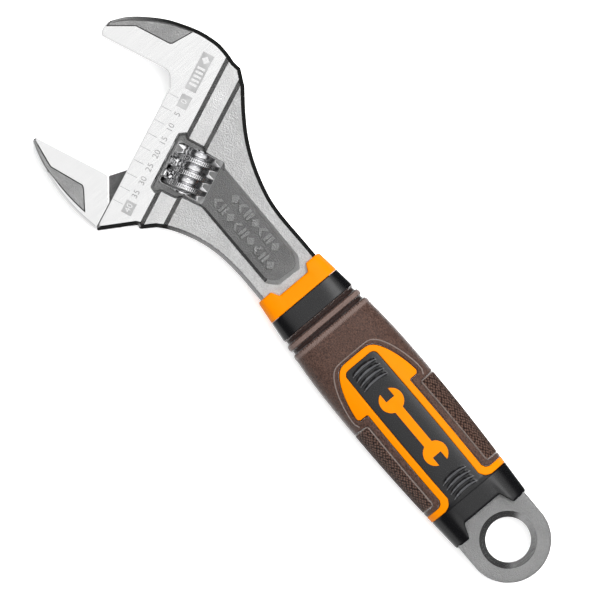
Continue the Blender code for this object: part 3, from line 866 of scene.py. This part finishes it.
def hermite(stations, x):
    """Smooth values at x from a table of (x, value)."""
    known = np.array([s for s, _ in stations], float)
    values = np.array([v for _, v in stations], float)
    slopes = np.gradient(values, known)
    i = np.clip(np.searchsorted(known, x) - 1, 0, len(known) - 2)
    span = known[i + 1] - known[i]
    t = (x - known[i]) / span
    cubic = (2 * t ** 3 - 3 * t * t + 1) * values[i] + (t ** 3 - 2 * t * t + t) * slopes[i] * span
    return cubic + (3 * t * t - 2 * t ** 3) * values[i + 1] + (t ** 3 - t * t) * slopes[i + 1] * span


class Form:
    """The grip's smooth outer surface, addressed by x and the unrolled coordinate v."""

    first, step, count, samples = 8.0, 0.5, 214, 257

    def __init__(self):
        self.y = np.empty((self.count, self.samples))
        self.z = np.empty((self.count, self.samples))
        angle = np.linspace(0, np.pi / 2, 4001)
        even = np.linspace(0, 1, self.samples)
        for i in range(self.count):
            x = np.clip(self.first + i * self.step, GRIP_WIDTH[0][0], GRIP_WIDTH[-1][0])
            width, depth = hermite(GRIP_WIDTH, x) - SKIN_INSET, hermite(GRIP_DEPTH, x) - SKIN_INSET
            power = 2 / hermite(GRIP_ROUNDNESS, x)
            y, z = width * np.sin(angle) ** power, depth * np.cos(angle) ** power
            run = np.concatenate(([0], np.cumsum(np.hypot(np.diff(y), np.diff(z)))))
            self.y[i] = np.interp(even, run / run[-1], y)
            self.z[i] = np.interp(even, run / run[-1], z)

    def rows(self, x):
        place = np.clip((x - self.first) / self.step, 0, self.count - 1.001)
        low = place.astype(int)
        return low, (place - low)

    def look_up(self, table, x, u):
        low, part = self.rows(x)
        column = np.clip(u, 0, 1) * (self.samples - 1)
        left = np.minimum(column.astype(int), self.samples - 2)
        side = column - left
        a = table[low, left] * (1 - side) + table[low, left + 1] * side
        b = table[low + 1, left] * (1 - side) + table[low + 1, left + 1] * side
        return a * (1 - part) + b * part

    def point(self, x, v, depth):
        """Points at a depth under the surface, on the front face."""
        x, v, depth = np.broadcast_arrays(*(np.asarray(part, float) for part in (x, v, depth)))
        u = np.abs(v) / GIRTH
        y, z = self.look_up(self.y, x, u), self.look_up(self.z, x, u)
        ahead, behind = np.clip(u + 0.012, 0, 1), np.clip(u - 0.012, 0, 1)
        dy = self.look_up(self.y, x, ahead) - self.look_up(self.y, x, behind)
        dz = self.look_up(self.z, x, ahead) - self.look_up(self.z, x, behind)
        dz = np.where(u < 0.012, 0, dz)
        dy = np.where(u > 0.988, 0, dy)
        length = np.hypot(dy, dz)
        y, z = y + depth * dz / length, z - depth * dy / length
        return np.stack((x, np.where(v < 0, -y, y), z), axis=-1)

    def unrolled(self, points):
        """(x, y) points on the front face as (x, v)."""
        made = []
        for x, y in points:
            low, part = self.rows(np.array(float(x)))
            row = self.y[low] * (1 - part) + self.y[low + 1] * part
            u = np.interp(abs(y), row, np.linspace(0, 1, self.samples))
            made.append((x, math.copysign(u * GIRTH, y)))
        return made


def skin(name, form, outline, depth, radius, wall, grid, wraps=False, guides=()):
    """A moulded layer over part of the grip's front face, with rounded edges and a wall going down.

    outline is in (x, v). Where it wraps, its edges at v = GIRTH and -GIRTH meet a mirrored back half.
    """
    seam = GIRTH - 0.001
    run = dense(outline, grid)
    pairs = list(zip(run, run[1:] + run[:1]))
    walls = [(a, b) for a, b in pairs if not (abs(a[1]) > seam and abs(b[1]) > seam)]
    low, high = np.min(run, axis=0), np.max(run, axis=0)
    xs = np.arange(low[0] + grid / 2, high[0], grid)
    vs = np.arange(low[1] + grid / 2, high[1], grid)
    lattice = np.array([(x, v) for x in xs for v in vs])

    def edge_distance(xy):
        best = np.full(len(xy), 1e9)
        for a, b in walls:
            best = np.minimum(best, distance(xy, [a, b], closed=False))
        return best

    lattice = lattice[inside(lattice, run)]
    lattice = lattice[edge_distance(lattice) > radius + grid * 0.4]
    lattice = lattice[np.abs(lattice[:, 1]) < GIRTH - grid * 0.3]
    ccw = sum(a[0] * b[1] - b[0] * a[1] for a, b in pairs) > 0
    insets = [grown(run if ccw else run[::-1], -radius * part) for part in (0.12, 0.35, 0.65, 1)]
    insets = [[(x, max(-GIRTH, min(GIRTH, v))) for x, v in loop] for loop in insets]
    lines = [loop + loop[:1] for loop in insets] + list(guides)
    xv, faces = triangulated([run], lines, lattice, grid * 1.5)
    middle = np.array([xv[list(face)].mean(axis=0) for face in faces])
    faces = [face for face, kept in zip(faces, inside(middle, run)) if kept]
    away = np.clip(edge_distance(xv), 0, radius)
    drop = radius - np.sqrt(np.maximum(radius ** 2 - (radius - away) ** 2, 0))
    under = depth(xv[:, 0], xv[:, 1])
    top = form.point(xv[:, 0], xv[:, 1], under + drop)
    deep = form.point(xv[:, 0], xv[:, 1], under + radius + wall)
    count = len(xv)
    rim = [(a, b) for a, b in open_edges(faces) if not (abs(xv[a, 1]) > seam and abs(xv[b, 1]) > seam)]
    faces += [(b, a, a + count, b + count) for a, b in rim]
    verts = np.concatenate((top, deep))
    coordinates = np.concatenate((xv, xv))
    if wraps:
        total = len(verts)
        back = verts * (1, 1, -1)
        faces = faces + [tuple(i + total for i in reversed(face)) for face in faces]
        verts = np.concatenate((verts, back))
        coordinates = np.concatenate((coordinates, coordinates))
    obj = new_object(name, verts, faces)
    layer = obj.data.uv_layers.new(name="skin")
    corner = np.empty(len(obj.data.loops), int)
    obj.data.loops.foreach_get("vertex_index", corner)
    layer.data.foreach_set("uv", coordinates[corner].ravel())
    return cleaned(obj, loose=True, weld=1e-4)


def sleeve(name, form, stations, warp, sides=120):
    """A layer right round the grip through (x, depth) stations. warp(x, y) moves points along the handle."""
    v = np.linspace(-GIRTH, GIRTH, sides + 1)
    rings = []
    for x, depth in stations:
        front = form.point(np.full(len(v), x), v, depth)
        back = front[::-1][1:-1] * (1, 1, -1)
        ring = np.concatenate((front, back))
        ring[:, 0] = warp(ring[:, 0], ring[:, 1])
        rings.append([tuple(point) for point in ring])
    return cleaned(loft(name, rings, capped=False), weld=1e-4)


def both_ways(upper):
    """A line of (x, y) points followed by its mirror image, back again."""
    return list(upper) + [(x, -y) for x, y in reversed(upper)]


def frame_side(extra=0.0):
    """The accent frame's outer edge on one side, from its bar to its nose."""
    bend = curve([(BAR_X + extra, 11.3), (BAR_X + 0.6 + extra, 9.95 + extra),
                  (BAR_X + 1.9, RAIL_OUTER + extra)], 4)
    step = [(ARROW_X - 0.4 - extra, RAIL_OUTER + extra), (ARROW_X - extra, RAIL_OUTER + 0.4 + extra),
            (ARROW_X - extra, 12.3 + extra), (ARROW_X + 0.7 - extra * 0.4, 13.0 + extra)]
    nose = curve([(63.6, 13.05), (67, 12.5), (71, 11.5), (74.5, 10.2), (77.4, 8.6), (79.2, 6.9), (80.0, 4.8),
                  (80.1, 0)])
    return bend + step + [(x + extra * 0.7, y + extra * (0.9 if y else 0)) for x, y in nose]


def border_line(off=0.0):
    """The fine raised line round the frame's arrow, shifted outwards by off."""
    side = [point for point in frame_side(GAP + BORDER + off) if point[0] > ARROW_X - 3]
    return both_ways(side[2:])


def field_side():
    """The edge of the dark field inside the accent frame, on one side."""
    bend = curve([(FRAME_X, 10.1), (FRAME_X + 0.9, 8.1), (FRAME_X + 2.9, PANEL_HALF)], 4)
    return bend + list(reversed(arc((PANEL_END_X - 2, PANEL_HALF - 2), 2, 0, 90, 6))) + [(PANEL_END_X, 0)]


def shell_depth(x, v):
    """The rubber shell's depth under the form, with its rings of grooves and its seams."""
    depth = np.zeros(len(x))
    for groove in SHELL_GROOVES:
        depth += 0.75 * (1 - smooth((np.abs(x - groove) - 0.5) / 0.5))
    for ridge in SHELL_RIDGES:
        depth -= 0.22 * (1 - smooth(np.abs(x - ridge) / 1.0))
    side = smooth((np.abs(v) - 16.5) / 1.5)
    for seam in SEAMS:
        depth += 0.22 * side * (1 - smooth(np.abs(x - seam) / 0.45))
    return depth


def rib_line(place, v):
    return place + 0.3 - 0.85 * (v / 5.3) ** 2


def rib_light(y):
    """Half the width of the painted highlight band beside a rib's crest."""
    return 0.36 * np.sqrt(np.clip(1 - (y / 5.2) ** 2, 0, 1))


def field_depth(x, v):
    """The dark field's depth under the form, with its two groups of ribs."""
    depth = np.interp(x, (20, 22, 60, 78), (0.02, 0.5, 0.85, 0.85))
    for rib in RIBS:
        bow = rib_line(rib, v)
        reach = 1 - smooth((np.abs(v) - 4.6) / 0.9)
        depth -= 0.45 * np.exp(-(((x - bow) / 0.45) ** 2)) * reach
    return depth


def make_core(form, material, rib):
    tail = [(8.9, 4.0), (8.9, 1.2), (8.6, 0.7), (8.75, 0.3), (9.1, 0.08), (9.6, 0.0)]
    tail += [(x, 0.0) for x in np.arange(10.5, 19.6, 1.0)] + [(20.2, 0.0), (20.45, 0.12), (20.52, CORE_DEPTH)]
    waist = [(x, CORE_DEPTH) for x in np.arange(22, 98, 2.0)] + [(98.68, CORE_DEPTH)]
    ring = [(98.68, 0.25), (98.8, 0.06), (99.1, 0.0)] + [(x, 0.0) for x in np.arange(100, 105.5, 0.75)]
    ring += [(105.7, 0.0), (105.88, 0.08), (105.95, 0.25), (105.95, 3.0)]

    def warp(x, y):
        notch = 5.0 * (1 - smooth((np.abs(y) - 7.3) / 2.6))
        return x + notch * np.clip((20 - x) / 11, 0, 1)

    core = sleeve("core", form, tail + waist + ring, warp)
    edge = form.unrolled(both_ways([(19.9, 10.3), (20.3, 10.2)] + field_side()))
    bands = []
    for place in RIBS:
        for side in (1, -1):
            ys = np.linspace(-5.2, 5.2, 27)
            xs = rib_line(place, ys) - RIB_HIGHLIGHT + side * rib_light(ys)
            bands.append(form.unrolled(list(zip(xs, ys))))
    fields = []
    for side in (1, -1):
        field = skin("field", form, edge[::-1], field_depth, 0.12, 0.8, 0.42, guides=bands)
        if side < 0:
            mirror(field)
        fields.append(field)
    whole = merged("grip_core_moulded", core, *fields)

    # Faces in the band beside each rib's crest get the lighter rib plastic: a painted highlight.
    def choose(centres):
        x, y = centres[:, 0], np.abs(centres[:, 1])
        lit = np.zeros(len(x), bool)
        for place in RIBS:
            lit |= np.abs(x - rib_line(place, y) + RIB_HIGHLIGHT) < rib_light(y)
        return lit & (np.abs(centres[:, 2]) > 6)

    paint(whole, (material, rib), choose)
    return finished(whole, "handle", ["grip_core"], weighted=False)


def mirror(obj):
    """Turns a front-face piece into its back-face twin."""
    obj.data.transform(Matrix.Diagonal((1, 1, -1, 1)))
    obj.data.flip_normals()


def make_frame(form, material):
    outer = form.unrolled(both_ways([(BAR_X, 99)] + frame_side()))
    inner = form.unrolled(both_ways([(FRAME_X, 99)] + field_side()))
    outline = outer[::-1] + inner
    frame = skin("accent_frame_moulded", form, outline, lambda x, v: 0 * x, 0.35, 1.0, 0.6, wraps=True)
    return finished(frame, "handle", ["accent_frame"], [material], weighted=False)


def make_shell(form, rubbers):
    low, high = PAD_X[0] - SEAM_GAP, PAD_X[1] + SEAM_GAP
    near = PAD_INNER - SEAM_GAP
    pad_side = [(SHELL_X[0], 99), (low, 99), (low, near + 0.8), (low + 0.8, near), (high - 0.8, near),
                (high, near + 0.8), (high, 99), (SHELL_X[1], 99)]
    outer = form.unrolled(both_ways(pad_side))
    inner = form.unrolled(both_ways([(SHELL_X[0], 11.7)] + frame_side(GAP)[1:]))
    columns = []
    for groove in SHELL_GROOVES:
        for off in (-1.0, -0.8, -0.65, -0.45, 0.45, 0.65, 0.8, 1.0):
            columns.append([(groove + off, -GIRTH), (groove + off, GIRTH)])
    line = border_line()
    border = form.unrolled(line)
    for off in (-0.35, -0.18, 0.0, 0.18, 0.35):
        columns.append(form.unrolled(border_line(off)))

    def depth(x, v):
        near = distance(np.stack((x, v), axis=-1), border, closed=False)
        return shell_depth(x, v) - 0.16 * (1 - smooth(near / 0.35))

    shell = skin("grip_shell_moulded", form, outer + inner[::-1], depth, 0.35, 0.9, 0.7, wraps=True,
                 guides=columns)

    def choose(centres):
        # Faces in the grooves get the darkest rubber as painted shade; faces on the ridges get a lighter
        # rubber as painted highlight; the fine raised line round the arrow gets the lip rubber, also painted
        # highlight.
        x = centres[:, 0]
        index = np.zeros(len(x), int)
        for groove in SHELL_GROOVES:
            index[np.abs(x - groove) < 0.9] = 1
        for ridge in SHELL_RIDGES:
            index[np.abs(x - ridge) < 0.7] = 2
        index[(distance(centres[:, :2], line, closed=False) < 0.2) & (np.abs(centres[:, 2]) > 3)] = 3
        return index

    paint(shell, [rubbers[name] for name in ("shell", "groove", "ridge", "lip")], choose)
    return finished(shell, "handle", ["grip_shell"], weighted=False)


def make_pad(form, rubbers, name, sign):
    low, high = PAD_X
    corner_low = arc((low + 1.2, PAD_INNER + 1.2), 1.2, 180, 270, 5)
    corner_high = arc((high - 1.2, PAD_INNER + 1.2), 1.2, 270, 360, 5)
    outline = [(low, 99)] + corner_low + corner_high + [(high, 99)]
    outline = form.unrolled([(x, y * sign) for x, y in outline])

    def depth(x, v):
        return 0.05 + 0 * x

    pad = skin(name + "_moulded", form, outline, depth, 0.4, 0.9, 0.6, wraps=True)
    edge = 0.42

    # Faces along the pad's outline get the lighter lip rubber: a painted highlight on the raised edge.
    def choose(centres):
        x, y = centres[:, 0], np.abs(centres[:, 1])
        return (x < low + edge) | (x > high - edge) | (y < PAD_INNER + edge)

    paint(pad, (rubbers["pad"], rubbers["lip"]), choose)
    return finished(pad, "handle", [name], weighted=False)


def make_collar(form, material):
    stations = [(106.02, 3.0), (106.02, 0.25), (106.1, 0.07), (106.35, 0.0)]
    stations += [(x, 0.0) for x in np.arange(107.0, 113.1, 0.6)]
    stations += [(113.5, 0.05), (113.85, 0.2), (114.05, 0.5), (114.1, 0.9), (114.1, 1.9)]

    def warp(x, y):
        notch = 1 - smooth((np.abs(y) - 5.9) / 1.9)
        return x - notch * 2.7 * np.clip((x - 107) / 6.8, 0, 1)

    collar = sleeve("front_collar_moulded", form, stations, warp)
    return finished(collar, "handle", ["front_collar"], [material], weighted=False)


def emblem_outline():
    """A plain double-ended spanner."""
    head, bar, mouth, reach = 4.3, 1.6, 1.7, 0.6
    left, right = EMBLEM_X[0] + head, EMBLEM_X[1] - head
    meet, gape = math.degrees(math.asin(bar / head)), math.degrees(math.asin(mouth / head))
    half = arc((right, 0), head, gape, 180 - meet, 10) + arc((left, 0), head, meet, 180 - gape, 10)
    upper = [(right + reach, mouth)] + half + [(left - reach, mouth)]
    return upper + [(x, -y) for x, y in reversed(upper)]


def make_emblem(form, material, name, back):
    outline = form.unrolled(emblem_outline())
    emblem = skin(name + "_moulded", form, outline, lambda x, v: 0.42 + 0 * x, 0.12, 0.4, 0.5)
    if back:
        mirror(emblem)
    return finished(emblem, "handle", [name], [material], weighted=False)


# Marks


def flat_curve(name, outlines, z, height, bevel, material):
    """Flat closed shapes, holes included, standing a little out of a surface at z."""
    data = bpy.data.curves.new(name, "CURVE")
    data.dimensions = "2D"
    data.fill_mode = "BOTH"
    data.extrude = height * MM
    data.bevel_depth = bevel * MM
    for outline in outlines:
        spline = data.splines.new("POLY")
        spline.points.add(len(outline) - 1)
        for point, (x, y) in zip(spline.points, outline):
            point.co = ((x - ORIGIN.x) * MM, (y - ORIGIN.y) * MM, 0, 1)
        spline.use_cyclic_u = True
    data.materials.append(material)
    obj = bpy.data.objects.new(name, data)
    obj.location.z = (z - ORIGIN.z) * MM
    bpy.context.scene.collection.objects.link(obj)
    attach(obj, "handle")
    return obj


def neck_marks(material):
    """Two rows of plain raised shapes on the sunk panel: diamonds, pairs of bars and chevrons."""
    shapes = []
    for start, low, count in ((120.0, 0.2, 9), (123.6, -5.0, 7)):
        high = low + 3.5
        centre = (low + high) / 2
        for k in range(count):
            x = start + k * 3.45
            if k % 3 == 0:
                shapes.append(arc((x + 1.2, centre), 1.5, 0, 270, 3))
            elif k % 3 == 1:
                shapes += [box(x + d, low + 0.2, x + d + 0.75, high - 0.2) for d in (0.1, 1.5)]
            else:
                shapes.append([(x, low + 0.2), (x + 0.9, low + 0.2), (x + 2.3, centre), (x + 0.9, high - 0.2),
                               (x, high - 0.2), (x + 1.4, centre)])
    return flat_curve("neck_marks", shapes, PANEL_Z, 0.25, 0.2, material)


def box_outline(p, q, half_p, half_q):
    return from_head(box(p - half_p, q - half_q, p + half_p, q + half_q))


def scale_marks(etched, inked, bright):
    """The etched jaw scale: a tick each 5 mm, numbers, two filled end squares and a plain maker's block."""
    middle, half = sum(TICK_P) / 2, (TICK_P[1] - TICK_P[0]) / 2
    ticks = [box_outline(middle, SCALE_Q + SCALE_STEP * k, half, 0.13) for k in range(9)]
    squares = [box_outline(BLOCK_P, END_SQUARE_Q[end], 1.85, half_q)
               for end, half_q in ((0, 2.35), (40, 2.25))]
    block = [box_outline(BLOCK_P, -90.65, 2.05, 6.85)]
    flat_curve("scale_ticks", ticks + squares + block, FACE_Z, 0.012, 0, etched)
    diamond = from_head(arc((BLOCK_P, -95.2), 1.4, 0, 270, 3))
    bars = [box_outline(BLOCK_P, -92.0 + 1.5 * k, 1.35, 0.4) for k in range(5)]
    flat_curve("block_marks", [diamond] + bars, FACE_Z, 0.02, 0, bright)
    turn = Matrix(((SIN, COS, 0), (-COS, SIN, 0), (0, 0, 1)))
    for number in range(0, 45, SCALE_STEP):
        boxed = number in END_SQUARE_Q
        q = END_SQUARE_Q.get(number, SCALE_Q + number)
        data = bpy.data.curves.new("digits", "FONT")
        data.body = str(number)
        data.size = 2.9 * MM
        data.space_character = 1.05
        data.align_x = "CENTER"
        data.align_y = "CENTER"
        data.extrude = 0.02 * MM if boxed else 0.012 * MM
        data.materials.append(bright if boxed else inked)
        text = bpy.data.objects.new("scale_number_" + str(number), data)
        x, y = from_head([(DIGIT_P, q)])[0]
        text.matrix_world = Matrix.Translation((Vector((x, y, FACE_Z)) - ORIGIN) * MM) @ turn.to_4x4()
        bpy.context.scene.collection.objects.link(text)
        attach(text, "handle")


# Stage


def make_stage():
    """A plain white floor with a faint glow, painted light that keeps shadows light, left out under the
    worm's window as a painted shadow.
    """
    material, add, link, shader = node_material("floor_white", (0.98, 0.98, 0.98), 0.9)
    half = 3.0
    verts = [(-half, -half, 0), (half, -half, 0), (half, half, 0), (-half, half, 0)]
    floor = new_object("floor", verts, [(0, 1, 2, 3)])
    floor.location.z = -0.0002
    x, y = from_head([(WORM_P, sum(WORM_ENDS) / 2)])[0]
    away = add("ShaderNodeVectorMath", operation="DISTANCE")
    link(add("ShaderNodeTexCoord").outputs["Object"], away.inputs[0])
    away.inputs[1].default_value = ((x - ORIGIN.x) * MM, (y - ORIGIN.y) * MM, 0)
    shader.inputs["Emission Color"].default_value = (1, 1, 1, 1)
    glow = ranged(add, link, away.outputs["Value"], 0.0, FLOOR_GLOW, PAINTED_SHADOW_SPOT[0] * MM, PAINTED_SHADOW_SPOT[1] * MM)
    link(glow, shader.inputs["Emission Strength"])
    floor.data.materials.append(material)
    floor.visible_glossy = False
    floor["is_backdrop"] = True


def make_world():
    """A studio that is bright overhead and on the side of the jaws' backs, and dark on the other side."""
    world = bpy.data.worlds.new("studio")
    bpy.context.scene.world = world
    world.use_nodes = True
    tree = world.node_tree
    background = tree.nodes["Background"]
    place = tree.nodes.new("ShaderNodeTexCoord").outputs["Generated"]

    def lobe(direction, start, end, strength):
        dot = tree.nodes.new("ShaderNodeVectorMath")
        dot.operation = "DOT_PRODUCT"
        tree.links.new(place, dot.inputs[0])
        dot.inputs[1].default_value = Vector(direction).normalized()
        ramp = tree.nodes.new("ShaderNodeMapRange")
        ramp.interpolation_type = "SMOOTHSTEP"
        tree.links.new(dot.outputs["Value"], ramp.inputs["Value"])
        for socket, number in zip(("From Min", "From Max", "To Min", "To Max"), (start, end, 0.0, strength)):
            ramp.inputs[socket].default_value = number
        return ramp.outputs["Result"]

    def joined(operation, a, b):
        node = tree.nodes.new("ShaderNodeMath")
        node.operation = operation
        tree.links.new(a, node.inputs[0])
        tree.links.new(b, node.inputs[1])
        return node.outputs[0]

    total = lobe((-0.10, -0.28, 1), 0.67, 0.9, 1.04)
    left = joined("MULTIPLY", lobe((0.75, 0.65, 0), 0.0, 0.35, 0.9), lobe((0, 0, -1), -0.45, -0.25, 1.0))
    highlight = lobe((0, -0.4, 1), 0.965, 0.992, 3.0)
    below = lobe((0, 0, -1), 0.8, 0.98, 1.0)
    everywhere = lobe((0, 0, -1), -1.0, -0.9, 0.05)
    for value in (left, highlight, below, everywhere):
        total = joined("ADD", total, value)
    tree.links.new(total, background.inputs["Strength"])
    background.inputs["Color"].default_value = (1, 1, 1, 1)


def make_lamp():
    place = Vector((-0.08, -0.5, 1.33))
    data = bpy.data.lights.new("ceiling", "AREA")
    data.size = 1.4
    data.energy = 34.0
    lamp = bpy.data.objects.new("ceiling", data)
    lamp.location = place
    lamp.rotation_euler = (-place).to_track_quat("-Z", "Y").to_euler()
    lamp.visible_glossy = False
    lamp.visible_camera = False
    bpy.context.scene.collection.objects.link(lamp)


def make_camera():
    """Straight down, with the handle running up from the lower right."""
    data = bpy.data.cameras.new("camera")
    data.lens = 480
    data.sensor_width = 36
    camera = bpy.data.objects.new("camera", data)
    tilt = math.radians(50)
    right = Vector((-math.cos(tilt), -math.sin(tilt), 0))
    up = Vector((math.sin(tilt), -math.cos(tilt), 0))
    turn = Matrix((right, up, Vector((0, 0, 1)))).transposed()
    distance_m = 0.2 * data.lens / data.sensor_width
    centre = (Vector((105.9, 1.8, 6.0)) - ORIGIN) * MM
    camera.matrix_world = Matrix.Translation(centre + Vector((0, 0, distance_m))) @ turn.to_4x4()
    bpy.context.scene.collection.objects.link(camera)
    bpy.context.scene.camera = camera


def main():
    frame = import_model()
    cad_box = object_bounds()
    steels = {
        "cast": steel("cast_steel", 0.79, 0.42, 0.5),
        "boss": steel("boss_steel", 0.8, 0.40, 0.35),
        "dark": steel("recess_steel", 0.32, 0.5, 0.6),
        "pocket": steel("pocket_steel", 0.56, 0.5, 0.5),
        "tail": steel("tail_steel", 0.6, 0.45, 0.7),
        # edge: a darker steel that paints dark reflection on the rims and shade on one panel wall
        "edge": steel("edge_painted_shade_steel", 0.3, 0.18, 0.1),
        # step: a darker steel that paints shade on the step walls
        "step": steel("step_painted_shade_steel", 0.6, 0.25, 0.1),
        # wall: a near-black steel that paints shade on pocket walls and in the rack's grooves
        "wall": steel("wall_painted_shade_steel", 0.12, 0.35, 0.1),
        # web: a very dark steel that paints the shade on the web deep in the slot
        "web": steel("web_painted_shade_steel", 0.19, 0.5, 0.4),
        "mark": steel("mark_steel", 0.42, 0.3, 0.6),
        "polished": polished_steel(),
    }
    bright = chrome()
    etched = steel("etched_steel", 0.66, 0.5, 0.0)
    inked = steel("digit_steel", 0.45, 0.5, 0.0)
    make_body(steels)
    make_jaw(steels)
    make_worm(bright)
    for node in ("worm_pin", "worm_spring"):
        frame["nodes"][node].material_slots[0].material = bright
    form = Form()
    black = plastic("black_plastic", (0.0025, 0.0025, 0.003), (0.004, 0.004, 0.0045), 0.22, 0.5)
    # rib: a lighter plastic for the painted highlight band beside each rib
    rib = plastic("rib_highlight_plastic", (0.05, 0.05, 0.054), (0.085, 0.086, 0.09), 0.3, 0.5)
    orange = plastic("orange_plastic", (0.66, 0.178, 0.0), (0.69, 0.196, 0.0), 0.42, 0.06, 0.05)
    rubbers = {
        "shell": rubber("brown_rubber", (0.020, 0.008, 0.005), (0.090, 0.049, 0.037), 1700.0),
        # groove: painted shade in the grooves; ridge and lip: painted highlights on the ridges, the pad edges
        # and the raised border line
        "groove": rubber("groove_painted_shade_rubber", (0.009, 0.003, 0.002), (0.017, 0.007, 0.005), 1500.0),
        "ridge": rubber("ridge_painted_highlight_rubber", (0.10, 0.066, 0.056), (0.15, 0.104, 0.09), 1800.0),
        "lip": rubber("lip_painted_highlight_rubber", (0.13, 0.10, 0.088), (0.19, 0.15, 0.134), 1800.0),
        "pad": knit_rubber((0.006, 0.002, 0.001), (0.125, 0.070, 0.052)),
    }
    make_core(form, black, rib)
    make_frame(form, orange)
    make_shell(form, rubbers)
    make_pad(form, rubbers, "side_pad_left", 1)
    make_pad(form, rubbers, "side_pad_right", -1)
    make_collar(form, orange)
    make_emblem(form, orange, "emblem_front", False)
    make_emblem(form, orange, "emblem_back", True)
    neck_marks(steels["mark"])
    scale_marks(etched, inked, steels["polished"])
    make_stage()
    make_world()
    make_lamp()
    make_camera()
    bpy.context.scene.view_settings.view_transform = "Standard"
    [[list(corner) for corner in box] for box in (cad_box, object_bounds())]


main()
